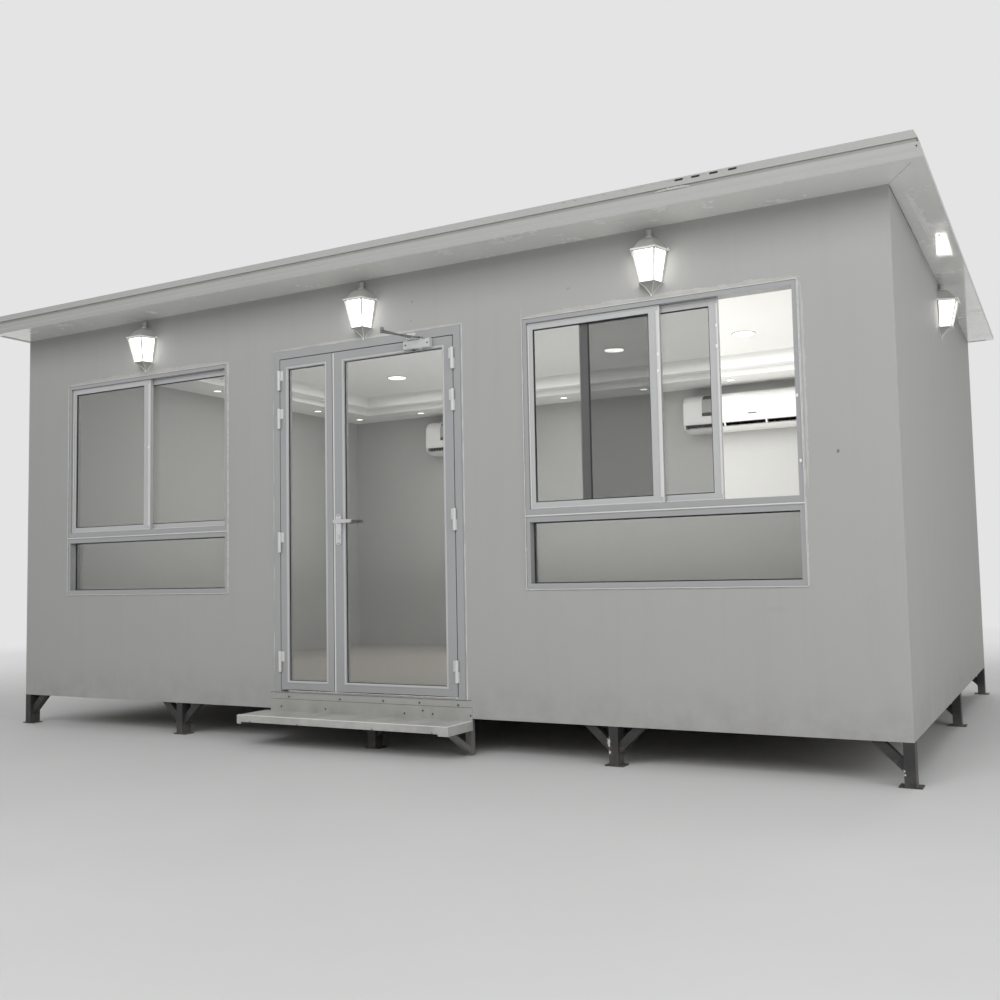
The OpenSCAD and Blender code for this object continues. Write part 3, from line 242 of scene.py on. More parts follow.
def weld(start, end, out, size):
    # a rippled bead: a small round section whose radius swells and shrinks along the way
    start, end = np.asarray(start, float), np.asarray(end, float)
    length = np.linalg.norm(end - start)
    count = max(int(length / welding["step"]), 8)
    t = np.linspace(0, 1, count)
    along = (end - start) / length
    side = np.cross(along, out)
    ripple = 1 + welding["swing"] * np.sin(t * length / welding["wave"] * 2 * math.pi)
    swell = ripple * np.sin(math.pi * t.clip(0.02, 0.98)) ** 0.2
    angle = np.arange(8) * math.pi / 4
    ring = size * np.stack([np.cos(angle), 0.7 * np.sin(angle)], axis=1)
    return run(start + t[:, None] * (end - start), side, out, ring, swell)


# pan-head screw: rings of fixed radius; inside the cross-shaped recess their points drop to its floor
screw = {"radius": 0.0045, "height": 0.0024, "recess": 0.0027, "slot": 0.0006, "depth": 0.0013}


def screwHead(centre, out=backs, size=1.0, turn=0.4):
    # radius, height and drop of each ring; the angles of a slot's edges are asin(slot / radius)
    big, high, arm, slot = screw["radius"], screw["height"], screw["recess"], screw["slot"]
    rows = np.array([(big, -0.0003, 0, 0), (big, 0.35 * high, 0, 0), (0.86 * big, 0.8 * high, 0, 0),
                     (arm, high, 0, 0), (arm, high, 1, 0), (0.5 * arm, high, 1, 0), (1.5 * slot, high, 1, 1)])
    edge = np.arcsin(slot / rows[:, 0])[:, None]
    between = [edge + (math.pi / 2 - 2 * edge) * k for k in (0.3, 0.5, 0.7)]
    quarter = np.hstack([-edge, -edge, edge, edge] + between)
    inSlot, outside = rows[:, 2:3], rows[:, 3:]
    drop = np.hstack([outside, inSlot, inSlot] + [outside] * 4)
    angle = np.hstack([quarter + k * math.pi / 2 for k in range(4)]) + turn
    floor = np.hstack([drop] * 4) * screw["depth"]
    out = np.asarray(out, float)
    first = np.cross(out, zAxis if abs(out[2]) < 0.9 else xAxis)
    second = np.cross(out, first)
    rings = (rows[:, :1, None] * (np.cos(angle)[..., None] * first + np.sin(angle)[..., None] * second)
             + (rows[:, 1:2] - floor)[..., None] * out)
    return gridShell(np.asarray(centre) + size * rings)


print("shapes ready")


def linear(value):  # a grey or a colour as a screen shows it, 0 to 255, as linear light
    parts = [value] * 3 if isinstance(value, (int, float)) else list(value)
    out = []
    for part in parts:
        part = part / 255
        out.append(part / 12.92 if part <= 0.04045 else ((part + 0.055) / 1.055) ** 2.4)
    return (*out, 1.0)


# node helpers
def addNode(tree, kind, **settings):
    node = tree.nodes.new(kind)
    for key, value in settings.items():
        setattr(node, key, value)
    return node


def setSocket(tree, socket, value):
    if isinstance(value, bpy.types.NodeSocket):
        tree.links.new(value, socket)
    else:
        socket.default_value = value


def mathNode(tree, operation, first, second=None, third=None, clamp=False):
    node = addNode(tree, "ShaderNodeMath", operation=operation, use_clamp=clamp)
    for socket, value in zip(node.inputs, (first, second, third)):
        if value is not None:
            setSocket(tree, socket, value)
    return node.outputs[0]


def vectorNode(tree, operation, first, second=None, scale=None):
    node = addNode(tree, "ShaderNodeVectorMath", operation=operation)
    setSocket(tree, node.inputs[0], first)
    if second is not None:
        setSocket(tree, node.inputs[1], second)
    if scale is not None:
        setSocket(tree, node.inputs["Scale"], scale)
    return node.outputs["Value" if operation in ("DISTANCE", "LENGTH", "DOT_PRODUCT") else "Vector"]


def rangeNode(tree, value, low, high, toLow=0.0, toHigh=1.0, smooth=False):
    node = addNode(tree, "ShaderNodeMapRange")
    node.interpolation_type = "SMOOTHSTEP" if smooth else "LINEAR"
    for name, number in (("Value", value), ("From Min", low), ("From Max", high), ("To Min", toLow),
                         ("To Max", toHigh)):
        setSocket(tree, node.inputs[name], number)
    return node.outputs["Result"]


def mixColor(tree, factor, first, second):
    node = addNode(tree, "ShaderNodeMix", data_type="RGBA")
    for socket, value in ((node.inputs[0], factor), (node.inputs[6], first), (node.inputs[7], second)):
        setSocket(tree, socket, value)
    return node.outputs[2]


def noiseNode(tree, vector, scale, detail=2.0, rough=0.5):
    node = addNode(tree, "ShaderNodeTexNoise")
    node.inputs["Detail"].default_value = detail
    node.inputs["Roughness"].default_value = rough
    setSocket(tree, node.inputs["Scale"], scale)
    setSocket(tree, node.inputs["Vector"], vector)
    return node.outputs["Fac"]


def newGroup(name, inputs, outputs):
    tree = bpy.data.node_groups.new(name, "ShaderNodeTree")
    for label, kind, value in inputs:
        socket = tree.interface.new_socket(label, in_out="INPUT", socket_type=kind)
        if value is not None:
            socket.default_value = value
    for label, kind in outputs:
        tree.interface.new_socket(label, in_out="OUTPUT", socket_type=kind)
    return tree, tree.nodes.new("NodeGroupInput").outputs, tree.nodes.new("NodeGroupOutput").inputs


floatKind = "NodeSocketFloat"
colorKind = "NodeSocketColor"
vectorKind = "NodeSocketVector"


# paint film: the colour drifts a little over large fields, the skin has a fine orange peel
def makePaintSkin():
    tree, given, out = newGroup("paintSkin", [
        ("Vector", vectorKind, None), ("Color", colorKind, None), ("Tone", floatKind, 0.05),
        ("Field Size", floatKind, 1.5), ("Peel Size", floatKind, 160.0),
        ("Roughness", floatKind, 0.5), ("Spread", floatKind, 0.1)],
        [("Color", colorKind), ("Roughness", floatKind), ("Height", floatKind)])
    field = noiseNode(tree, given["Vector"], given["Field Size"], 4.0, 0.55)
    peel = noiseNode(tree, given["Vector"], given["Peel Size"], 2.0, 0.45)
    swing = mathNode(tree, "SUBTRACT", field, 0.5)
    gain = mathNode(tree, "MULTIPLY_ADD", mathNode(tree, "MULTIPLY", swing, given["Tone"]), 4.0, 1.0)
    tree.links.new(vectorNode(tree, "SCALE", given["Color"], scale=gain), out["Color"])
    rough = mathNode(tree, "MULTIPLY", swing, given["Spread"])
    tree.links.new(mathNode(tree, "ADD", rough, given["Roughness"], clamp=True), out["Roughness"])
    tree.links.new(peel, out["Height"])
    return tree


# dust and splashes: strongest at one height, broken up by noise, fading over a reach
def makeDust():
    tree, given, out = newGroup("footDust", [
        ("Vector", vectorKind, None), ("Color", colorKind, None), ("Dust Color", colorKind, None),
        ("Foot", floatKind, 0.0), ("Reach", floatKind, 0.4), ("Amount", floatKind, 0.3)],
        [("Color", colorKind), ("Mask", floatKind)])
    split = addNode(tree, "ShaderNodeSeparateXYZ")
    tree.links.new(given["Vector"], split.inputs[0])
    top = mathNode(tree, "ADD", given["Foot"], given["Reach"])
    fall = rangeNode(tree, split.outputs["Z"], top, given["Foot"], 0.0, 1.0, True)
    cloudy = rangeNode(tree, noiseNode(tree, given["Vector"], 7.0, 6.0, 0.62), 0.36, 0.68)
    mask = mathNode(tree, "MULTIPLY", mathNode(tree, "MULTIPLY", fall, cloudy), given["Amount"], clamp=True)
    tree.links.new(mixColor(tree, mask, given["Color"], given["Dust Color"]), out["Color"])
    tree.links.new(mask, out["Mask"])
    return tree


# grain of drawn or brushed metal: noise stretched along the local X
def makeGrain():
    tree, given, out = newGroup("drawnGrain", [
        ("Vector", vectorKind, None), ("Fineness", floatKind, 900.0), ("Stretch", floatKind, 0.03),
        ("Roughness", floatKind, 0.3), ("Spread", floatKind, 0.12)],
        [("Roughness", floatKind), ("Height", floatKind)])
    squeeze = addNode(tree, "ShaderNodeCombineXYZ")
    tree.links.new(given["Stretch"], squeeze.inputs[0])
    squeeze.inputs[1].default_value = 1.0
    squeeze.inputs[2].default_value = 1.0
    drawn = vectorNode(tree, "MULTIPLY", given["Vector"], squeeze.outputs[0])
    grain = noiseNode(tree, drawn, given["Fineness"], 3.0, 0.6)
    swing = mathNode(tree, "MULTIPLY", mathNode(tree, "SUBTRACT", grain, 0.5), given["Spread"])
    tree.links.new(mathNode(tree, "ADD", swing, given["Roughness"], clamp=True), out["Roughness"])
    tree.links.new(grain, out["Height"])
    return tree


# a mark round a point of the object, stretched by three sizes, with a soft ragged edge
def makeMark():
    tree, given, out = newGroup("softMark", [
        ("Vector", vectorKind, None), ("Centre", vectorKind, None), ("Size", vectorKind, None),
        ("Softness", floatKind, 0.3), ("Grain", floatKind, 60.0)], [("Mask", floatKind)])
    ragged = noiseNode(tree, given["Vector"], given["Grain"], 4.0, 0.65)
    shifted = vectorNode(tree, "SUBTRACT", given["Vector"], given["Centre"])
    gap = vectorNode(tree, "LENGTH", vectorNode(tree, "DIVIDE", shifted, given["Size"]))
    rim = rangeNode(tree, ragged, 0.3, 0.7, 0.6, 1.35)
    inner = mathNode(tree, "MULTIPLY", rim, mathNode(tree, "SUBTRACT", 1.0, given["Softness"]))
    tree.links.new(rangeNode(tree, gap, rim, inner, 0.0, 1.0, True), out["Mask"])
    return tree


# scratches and scuffs: thin bright lines where a stretched noise passes its middle value
def makeScuffs():
    tree, given, out = newGroup("fineScuffs", [
        ("Vector", vectorKind, None), ("Scale", floatKind, 12.0), ("Width", floatKind, 0.012),
        ("Amount", floatKind, 0.3)], [("Mask", floatKind)])
    bent = noiseNode(tree, given["Vector"], given["Scale"], 2.0, 0.4)
    line = mathNode(tree, "ABSOLUTE", mathNode(tree, "SUBTRACT", bent, 0.5))
    thin = rangeNode(tree, line, given["Width"], 0.0, 0.0, 1.0, True)
    patch = rangeNode(tree, noiseNode(tree, given["Vector"], 2.3, 3.0, 0.5), 0.5, 0.66, 0.0, 1.0, True)
    mask = mathNode(tree, "MULTIPLY", mathNode(tree, "MULTIPLY", thin, patch), given["Amount"], clamp=True)
    tree.links.new(mask, out["Mask"])
    return tree


paintSkin = makePaintSkin()
footDust = makeDust()
drawnGrain = makeGrain()
softMark = makeMark()
fineScuffs = makeScuffs()


def useGroup(tree, group, **values):
    node = addNode(tree, "ShaderNodeGroup", node_tree=group)
    for name, value in values.items():
        setSocket(tree, node.inputs[name.replace("_", " ")], value)
    return node.outputs


def startMaterial(name, turn=(0.0, 0.0, 0.0)):
    material = bpy.data.materials.new(name)
    material.use_nodes = True
    tree = material.node_tree
    coordinate = addNode(tree, "ShaderNodeTexCoord")
    mapping = addNode(tree, "ShaderNodeMapping")
    mapping.inputs["Rotation"].default_value = turn
    tree.links.new(coordinate.outputs["Object"], mapping.inputs["Vector"])
    return material, tree, mapping.outputs[0], tree.nodes["Principled BSDF"]


def addBump(tree, shader, height, distance, strength=1.0):
    bump = addNode(tree, "ShaderNodeBump")
    bump.inputs["Strength"].default_value = strength
    bump.inputs["Distance"].default_value = distance
    tree.links.new(height, bump.inputs["Height"])
    if shader.inputs["Normal"].is_linked:
        tree.links.new(shader.inputs["Normal"].links[0].from_socket, bump.inputs["Normal"])
    tree.links.new(bump.outputs[0], shader.inputs["Normal"])


def colorOf(shader):  # what feeds the base colour so far
    return shader.inputs["Base Color"].links[0].from_socket


def paintedMaterial(name, color, rough, tone=0.04, spread=0.1, field=1.5, peel=160.0, bump=0.00012,
                    coat=0.0, coatRough=0.12, metallic=0.0, dust=None, scuffs=None, turn=(0.0, 0.0, 0.0)):
    material, tree, vector, shader = startMaterial(name, turn)
    film = useGroup(tree, paintSkin, Vector=vector, Color=linear(color), Tone=tone, Field_Size=field,
                    Peel_Size=peel, Roughness=rough, Spread=spread)
    tint = film["Color"]
    if dust:
        tint = useGroup(tree, footDust, Vector=vector, Color=tint, **dust)["Color"]
    if scuffs:
        lines = useGroup(tree, fineScuffs, Vector=vector, **scuffs["lines"])["Mask"]
        tint = mixColor(tree, lines, tint, linear(scuffs["color"]))
    tree.links.new(tint, shader.inputs["Base Color"])
    tree.links.new(film["Roughness"], shader.inputs["Roughness"])
    shader.inputs["Coat Weight"].default_value = coat
    shader.inputs["Coat Roughness"].default_value = coatRough
    shader.inputs["Metallic"].default_value = metallic
    addBump(tree, shader, film["Height"], bump)
    return material, tree, vector, shader


def paint(name, *look, **more):
    return paintedMaterial(name, *look, **more)[0]


def metalMaterial(name, color, rough, fineness=900.0, spread=0.12, turn=(0.0, 0.0, 0.0), bump=0.00003,
                  metallic=1.0):
    material, tree, vector, shader = startMaterial(name, turn)
    grain = useGroup(tree, drawnGrain, Vector=vector, Fineness=fineness, Roughness=rough, Spread=spread)
    film = useGroup(tree, paintSkin, Vector=vector, Color=linear(color), Tone=0.05, Field_Size=9.0,
                    Peel_Size=200.0, Roughness=rough, Spread=0.1)
    tree.links.new(film["Color"], shader.inputs["Base Color"])
    tree.links.new(grain["Roughness"], shader.inputs["Roughness"])
    shader.inputs["Metallic"].default_value = metallic
    addBump(tree, shader, grain["Height"], bump)
    return material


# wall paint: matt light grey rolled on a skimmed panel: broad waves, faint runs, dust above the lower edge,
# a few marks and hairline cracks
wallTone = {"color": (168, 168, 166), "rough": 0.6, "tone": 0.018, "spread": 0.12, "field": 0.9,
            "peel": 210.0, "bump": 0.00016}
wallDust = {"Dust_Color": linear((112, 110, 106)), "Foot": 0.2, "Reach": 0.3, "Amount": 0.25}
wallMarks = [  # centre, size, grey, strength
    (at(5.722, 0.0, 1.54), (0.012, 0.05, 0.012), 96, 0.8),
    (at(5.413, 0.0, 0.802), (0.075, 0.05, 0.02), 160, 0.35),
    (at(3.351, 0.0, 2.59), (0.009, 0.05, 0.009), 120, 0.6),
    (at(3.339, 0.0, 2.479), (0.008, 0.05, 0.008), 125, 0.6),
    (at(4.35, 0.0, 2.52), (0.016, 0.05, 0.008), 140, 0.6)]
wallCracks = [(at(6.0, 1.18, 2.735), (0.02, 0.17, 0.004)), (at(6.0, 1.3, 2.70), (0.02, 0.006, 0.06)),
              (at(6.0, 1.12, 2.69), (0.02, 0.005, 0.05))]


def makeWallPaint():
    material, tree, vector, shader = paintedMaterial("wallPaint", **wallTone, dust=wallDust)
    squeeze = addNode(tree, "ShaderNodeMapping")
    squeeze.inputs["Scale"].default_value = (9.0, 9.0, 0.35)
    tree.links.new(vector, squeeze.inputs["Vector"])
    runs = rangeNode(tree, noiseNode(tree, squeeze.outputs[0], 1.0, 5.0, 0.6), 0.52, 0.8, 0.0, 0.07)
    tint = mixColor(tree, runs, colorOf(shader), linear((112, 110, 106)))
    for centre, size, grey, weight in wallMarks:
        mask = useGroup(tree, softMark, Vector=vector, Centre=tuple(centre), Size=size, Softness=0.6)["Mask"]
        tint = mixColor(tree, mathNode(tree, "MULTIPLY", mask, weight), tint, linear(grey))
    for centre, size in wallCracks:
        mask = useGroup(tree, softMark, Vector=vector, Centre=tuple(centre), Size=size, Softness=0.4,
                        Grain=34.0)["Mask"]
        tint = mixColor(tree, mathNode(tree, "MULTIPLY", mask, 0.6), tint, linear(96))
    tree.links.new(tint, shader.inputs["Base Color"])
    skim = addNode(tree, "ShaderNodeMapping")
    skim.inputs["Scale"].default_value = (3.2, 3.2, 1.1)
    tree.links.new(vector, skim.inputs["Vector"])
    addBump(tree, shader, noiseNode(tree, skim.outputs[0], 1.6, 3.0, 0.5), 0.006, 0.5)
    addBump(tree, shader, noiseNode(tree, vector, 26.0, 4.0, 0.55), 0.0009, 0.5)
    return material


wallPaint = makeWallPaint()

trimDust = {"Dust_Color": linear((120, 117, 112)), "Foot": 0.16, "Reach": 0.2, "Amount": 0.4}
# the tread darker towards the ground: dust, and painted shade on its front face
treadDustAndShade = {"Dust_Color": linear((124, 121, 116)), "Foot": 0.13, "Reach": 0.25, "Amount": 0.5}
treadScuffs = {"lines": {"Scale": 16.0, "Width": 0.01, "Amount": 0.5}, "color": (150, 148, 144)}
fasciaPaint = paint("fasciaPaint", (170, 170, 168), 0.36, tone=0.02, spread=0.12, field=2.5, peel=90.0,
                    bump=0.0001, coat=0.2)
roofMembrane = paint("roofMembrane", (172, 172, 169), 0.7, tone=0.06, field=2.0, peel=60.0, bump=0.0006)
ceilingPaint = paint("ceilingPaint", (226, 226, 224), 0.55, tone=0.012, peel=260.0, bump=0.00008)
coverPaint = paint("coverPaint", (168, 168, 165), 0.45, tone=0.03, spread=0.14, field=5.0, peel=180.0,
                   bump=0.0001, dust=trimDust)
treadPaint = paint("treadPaint", (184, 184, 181), 0.42, tone=0.03, spread=0.2, field=6.0, peel=150.0,
                   bump=0.00012, dust=treadDustAndShade, scuffs=treadScuffs)
framePaint = paint("framePaint", (162, 163, 164), 0.24, tone=0.015, spread=0.08, field=3.0, peel=700.0,
                   bump=0.00003, coat=0.5, coatRough=0.08, metallic=0.25)
# the frames' paint made lighter for the sashes and the leaves' glazing beads: painted highlight
litFramePaint = paint("litFramePaint", (188, 189, 190), 0.24, tone=0.015, spread=0.08, field=3.0, peel=700.0,
                  bump=0.00003, coat=0.5, coatRough=0.08, metallic=0.25)
unitPlastic = paint("unitPlastic", (212, 212, 210), 0.34, tone=0.01, spread=0.05, field=3.0, peel=900.0,
                    bump=0.00003)
hingePlastic = paint("hingePlastic", (210, 210, 208), 0.3, tone=0.015, spread=0.06, field=14.0, peel=600.0,
                     bump=0.00003, coat=0.2)
sealantSkin = paint("sealantSkin", (192, 192, 189), 0.4, tone=0.05, spread=0.16, field=26.0, peel=120.0,
                    bump=0.0004)
plasterSkin = paint("plasterSkin", (182, 181, 178), 0.75, tone=0.06, spread=0.1, field=18.0, peel=90.0,
                    bump=0.0006)
rubberBlack = paint("rubberBlack", (26, 26, 27), 0.5, tone=0.1, spread=0.15, field=30.0, peel=500.0,
                    bump=0.00005)
# near white: torn film on the soffit, and painted reflection of the right lantern there
filmAndReflection = paint("filmAndReflection", (244, 244, 240), 0.5, tone=0.09, spread=0.3, field=30.0, peel=40.0,
                    bump=0.0008)
# painted shade for the back of the fascia's groove
grooveShade = paint("grooveShade", (156, 155, 152), 0.8, tone=0.08, spread=0.1, field=7.0, peel=120.0,
                   bump=0.0002)
# near black: painted shade in the units' outlet slots, the closer's holes and the crown's notches; dark print
# bands and joint lines elsewhere
darkMarksAndShade = paint("darkMarksAndShade", (46, 45, 44), 0.8, tone=0.15, spread=0.1, field=20.0, peel=120.0, bump=0.0002)
# near white: the sash catches' own white, and painted highlight on the lanterns' beads, the units' front line
# and the tread's rolled beads
paleTrimAndHighlight = paint("paleTrimAndHighlight", (240, 240, 236), 0.36, tone=0.05, spread=0.14, field=30.0, peel=300.0,
                    bump=0.0002, coat=0.2)
lanternMetal = paint("lanternMetal", (172, 172, 168), 0.4, tone=0.08, spread=0.18, field=22.0, peel=260.0,
                     bump=0.0003, coat=0.15)


# glossy soffit sheet: smooth enough to mirror the lanterns, with slow waves and smears of its film's glue
def makeSoffit():
    material, tree, vector, shader = paintedMaterial(
        "soffitSheet", (238, 238, 235), 0.1, tone=0.012, spread=0.06, field=1.2, peel=9.0, bump=0.0005,
        coat=0.7, coatRough=0.05)
    glue = rangeNode(tree, noiseNode(tree, vector, 5.0, 6.0, 0.68), 0.5, 0.72, 0.0, 0.35)
    rough = shader.inputs["Roughness"].links[0].from_socket
    tree.links.new(mathNode(tree, "ADD", rough, glue, clamp=True), shader.inputs["Roughness"])
    return material


soffitSheet = makeSoffit()


# steel under the booth: dark paint worn to rust in spots, dusty at its feet
def makeDarkSteel(name, color, rust, splashes=()):
    material, tree, vector, shader = paintedMaterial(
        name, color, 0.55, tone=0.1, spread=0.3, field=12.0, peel=240.0, bump=0.0003,
        dust={"Dust_Color": linear((126, 121, 114)), "Foot": 0.0, "Reach": 0.12, "Amount": 0.5})
    worn = rangeNode(tree, noiseNode(tree, vector, 24.0, 8.0, 0.68), 0.56, 0.66, 0.0, rust)
    tint = mixColor(tree, worn, colorOf(shader), linear((92, 74, 60)))
    for centre, size in splashes:
        mask = useGroup(tree, softMark, Vector=vector, Centre=tuple(centre), Size=size, Softness=0.5,
                        Grain=90.0)["Mask"]
        tint = mixColor(tree, mask, tint, linear((198, 196, 192)))
    tree.links.new(tint, shader.inputs["Base Color"])
    addBump(tree, shader, worn, -0.0004, 0.6)
    return material


legSplashes = [(at(4.515, 0.0, 0.12), (0.016, 0.06, 0.035)), (at(4.52, 0.0, 0.07), (0.012, 0.06, 0.012)),
               (at(5.95, 0.0, 0.075), (0.008, 0.06, 0.006)), (at(5.955, 0.0, 0.058), (0.006, 0.06, 0.006))]
legSteel = makeDarkSteel("legSteel", (50, 50, 50), 0.65, legSplashes)
frameSteel = makeDarkSteel("frameSteel", (66, 66, 65), 0.5)
bracketSteel = makeDarkSteel("bracketSteel", (112, 112, 110), 0.35)


# floor sheet: broad dull tiles of vinyl with fine grain
def makeFloorSheet():
    material, tree, vector, shader = paintedMaterial("floorSheet", (160, 156, 149), 0.4, tone=0.06,
                                                     spread=0.15, field=1.2, peel=320.0, bump=0.0001)
    tiles = addNode(tree, "ShaderNodeTexBrick", offset=0.0)
    for name, value in (("Scale", 1.0), ("Mortar Size", 0.003), ("Brick Width", 0.6), ("Row Height", 0.6)):
        tiles.inputs[name].default_value = value
    tree.links.new(vector, tiles.inputs["Vector"])
    joints = tiles.outputs["Fac"]
    tree.links.new(mixColor(tree, joints, colorOf(shader), linear((120, 116, 110))),
                   shader.inputs["Base Color"])
    addBump(tree, shader, joints, -0.0006)
    return material


floorSheet = makeFloorSheet()

steelBright = metalMaterial("steelBright", (214, 215, 216), 0.26, turn=(0.0, math.pi / 2, 0.0))
screwMetal = metalMaterial("screwMetal", (112, 112, 112), 0.38, spread=0.2)
leverMetal = metalMaterial("leverMetal", (206, 206, 205), 0.36, metallic=0.75)
closerMetal = metalMaterial("closerMetal", (206, 207, 208), 0.34, spread=0.16, metallic=0.3)
armMetal = metalMaterial("armMetal", (150, 151, 152), 0.36, spread=0.2)


# tinted glass with a faint haze of dust; shadow rays pass so that lamps light the room
glass = {"tint": 0.44, "reflect": 1.5}


def makeGlass():
    material, tree, vector, shader = startMaterial("tintedGlass")
    haze = rangeNode(tree, noiseNode(tree, vector, 2.5, 6.0, 0.6), 0.4, 0.75, 0.0, 0.03)
    tree.links.new(haze, shader.inputs["Roughness"])
    shader.inputs["Base Color"].default_value = (glass["tint"], glass["tint"] * 1.01, glass["tint"], 1.0)
    shader.inputs["Transmission Weight"].default_value = 1.0
    shader.inputs["IOR"].default_value = glass["reflect"]
    clear = addNode(tree, "ShaderNodeBsdfTransparent")
    through = math.sqrt(glass["tint"])  # the pane's two faces tint a shadow ray once each
    clear.inputs["Color"].default_value = (through, through, through, 1.0)
    path = addNode(tree, "ShaderNodeLightPath")
    mix = addNode(tree, "ShaderNodeMixShader")
    tree.links.new(path.outputs["Is Shadow Ray"], mix.inputs[0])
    tree.links.new(shader.outputs[0], mix.inputs[1])
    tree.links.new(clear.outputs[0], mix.inputs[2])
    tree.links.new(mix.outputs[0], tree.nodes["Material Output"].inputs["Surface"])
    return material


tintedGlass = makeGlass()


# lit opal: white plastic glowing, a little cloudy
def makeGlow(name, strength, size):
    material, tree, vector, shader = startMaterial(name)
    cloud = rangeNode(tree, noiseNode(tree, vector, size, 3.0, 0.5), 0.3, 0.7, 0.92, 1.0)
    warm = vectorNode(tree, "SCALE", linear((255, 253, 248))[:3], scale=cloud)
    tree.links.new(warm, shader.inputs["Emission Color"])
    tree.links.new(warm, shader.inputs["Base Color"])
    shader.inputs["Emission Strength"].default_value = strength
    shader.inputs["Roughness"].default_value = 0.3
    return material


paneGlow = makeGlow("paneGlow", 3.4, 20.0)
lampGlow = makeGlow("lampGlow", 5.0, 12.0)

finishes = {
    wallPaint: ["front_wall_left", "front_wall_right", "front_wall_over_door", "back_wall", "left_wall",
                "right_wall"],
    fasciaPaint: ["front_fascia", "right_fascia", "plain_edge_trim"],
    soffitSheet: ["soffit"],
    roofMembrane: ["roof_deck"],
    ceilingPaint: ["ceiling_border", "ceiling_centre"],
    lampGlow: ["ceiling_lights"],
    frameSteel: ["base_frame", "floor_joists"],
    legSteel: ["front_legs", "middle_legs", "back_legs"],
    floorSheet: ["floor_board"],
    framePaint: ["door_frame", "narrow_leaf_frame", "wide_leaf_frame", "left_window_frame",
                 "right_window_frame"],
    litFramePaint: ["left_window_sashes", "right_window_sashes"],
    tintedGlass: ["narrow_leaf_glass", "wide_leaf_glass", "window_glass"],
    hingePlastic: ["frame_hinges", "narrow_leaf_hinges", "wide_leaf_hinges"],
    steelBright: ["lock_plates"],
    leverMetal: ["door_lever"],
    closerMetal: ["closer_body", "closer_bracket"],
    armMetal: ["closer_arm", "closer_forearm"],
    lanternMetal: ["lantern_cages"],
    paneGlow: ["lantern_panes"],
    unitPlastic: ["indoor_units"],
    treadPaint: ["step_tread"],
    bracketSteel: ["step_brackets"],
    coverPaint: ["door_cover_strips"],
}
for material, names in finishes.items():
    for name in names:
        nodes[name].data.materials.clear()
        nodes[name].data.materials.append(material)
print("materials assigned")

# a lighter copy of the sash paint: painted highlight on the window lips, the sash ribs and the meeting strip
paintedHighlightTrim = paint("paintedHighlightTrim", (212, 212, 210), 0.26, tone=0.015, spread=0.08, field=5.0, peel=500.0,
                  bump=0.00003, coat=0.3)
lampRim = paint("lampRim", (150, 150, 148), 0.4, tone=0.02, spread=0.08, field=9.0, peel=500.0, bump=0.00003)


# black gaskets: a wedge on both faces of each pane, carried round its opening with mitred corners
gasket = {"wide": 0.0052, "tall": 0.004, "under": 0.0008, "bite": 0.008}


def gasketShells(name):
    wide, tall, under, bite = gasket["wide"], gasket["tall"], gasket["under"], gasket["bite"]
    wedge = np.array([(under, -0.0003), (under, tall), (-0.35 * wide, tall), (-wide, 0.3 * tall),
                      (-wide, -0.0003)])
    shells = []
    for low, high in solidBoxes(name):
        inner = (low[[0, 2]] + bite, high[[0, 2]] - bite)
        for side, front in ((1, low[1]), (-1, high[1])):
            shells.append(hoop(*inner, front, wedge * (1, side)))
    return shells


addPiece("windowGaskets", gasketShells("window_glass"), rubberBlack)
addPiece("narrowLeafGaskets", gasketShells("narrow_leaf_glass"), rubberBlack, "narrow_leaf")
addPiece("wideLeafGaskets", gasketShells("wide_leaf_glass"), rubberBlack, "wide_leaf")

# snap-on glazing beads of the leaves: a rounded cover on the face that slopes back to the pane, in the
# lighter frame paint as painted highlight
leafBead = {"over": 0.012, "rise": 0.0032, "inside": 0.0028}


def leafBeadShells(leaf, pane):
    over, rise, inside = leafBead["over"], leafBead["rise"], leafBead["inside"]
    (low, high), (frameLow, frameHigh) = solidBoxes(pane)[0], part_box(leaf)
    inner = (low[[0, 2]] + gasket["bite"], high[[0, 2]] - gasket["bite"])
    shells = []
    for side, front, deep in ((1, frameLow.y, low[1] - frameLow.y), (-1, frameHigh.y, frameHigh.y - high[1])):
        shape = [(over, -sunk), (over, 0.4 * rise), (over - 0.002, 0.85 * rise), (over - 0.004, rise),
                 (0.004, rise), (0.001, 0.7 * rise), (-0.0012, 0.0), (-inside, -0.6 * deep), (-inside, -deep),
                 (0.0006, -deep), (0.0006, -sunk)]
        shells.append(hoop(*inner, front, np.array(shape) * (1, side)))
    return shells


addPiece("narrowLeafBeads", leafBeadShells("narrow_leaf_frame", "narrow_leaf_glass"), litFramePaint,
         "narrow_leaf")
addPiece("wideLeafBeads", leafBeadShells("wide_leaf_frame", "wide_leaf_glass"), litFramePaint,
         "wide_leaf")

# rolled lips: a low half-round just inside the outer edge of every sash and along the joint under it, painted
# lighter as painted highlight
lip = {"sash": (0.0075, 0.0024), "joint": (0.009, 0.003), "jointZ": 1.3045, "edge": (0.004, 0.0016)}


def lipRow(wide, rise):  # outwards from the edge, forwards
    return np.array([(-wide, -sunk), (-0.85 * wide, 0.6 * rise), (-0.55 * wide, rise),
                     (-0.25 * wide, 0.8 * rise), (-0.0003, 0.2 * rise), (-0.0003, -sunk)])


sashes = solidBoxes("left_window_sashes") + solidBoxes("right_window_sashes")
lips = [hoop(low[[0, 2]], high[[0, 2]], low[1], lipRow(*lip["sash"])) for low, high in sashes]
windowFrames = [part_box("left_window_frame"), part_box("right_window_frame")]
for low, high in windowFrames:
    ends = [(x, low.y, lip["jointZ"]) for x in (low.x + 0.001, high.x - 0.001)]
    lips.append(run(ends, zAxis, backs, lipRow(*lip["joint"]) + (lip["joint"][0] / 2, 0.0)))
    lips.append(hoop((low.x, low.z), (high.x, high.z), low.y, lipRow(*lip["edge"])))
addPiece("windowLips", lips, paintedHighlightTrim)
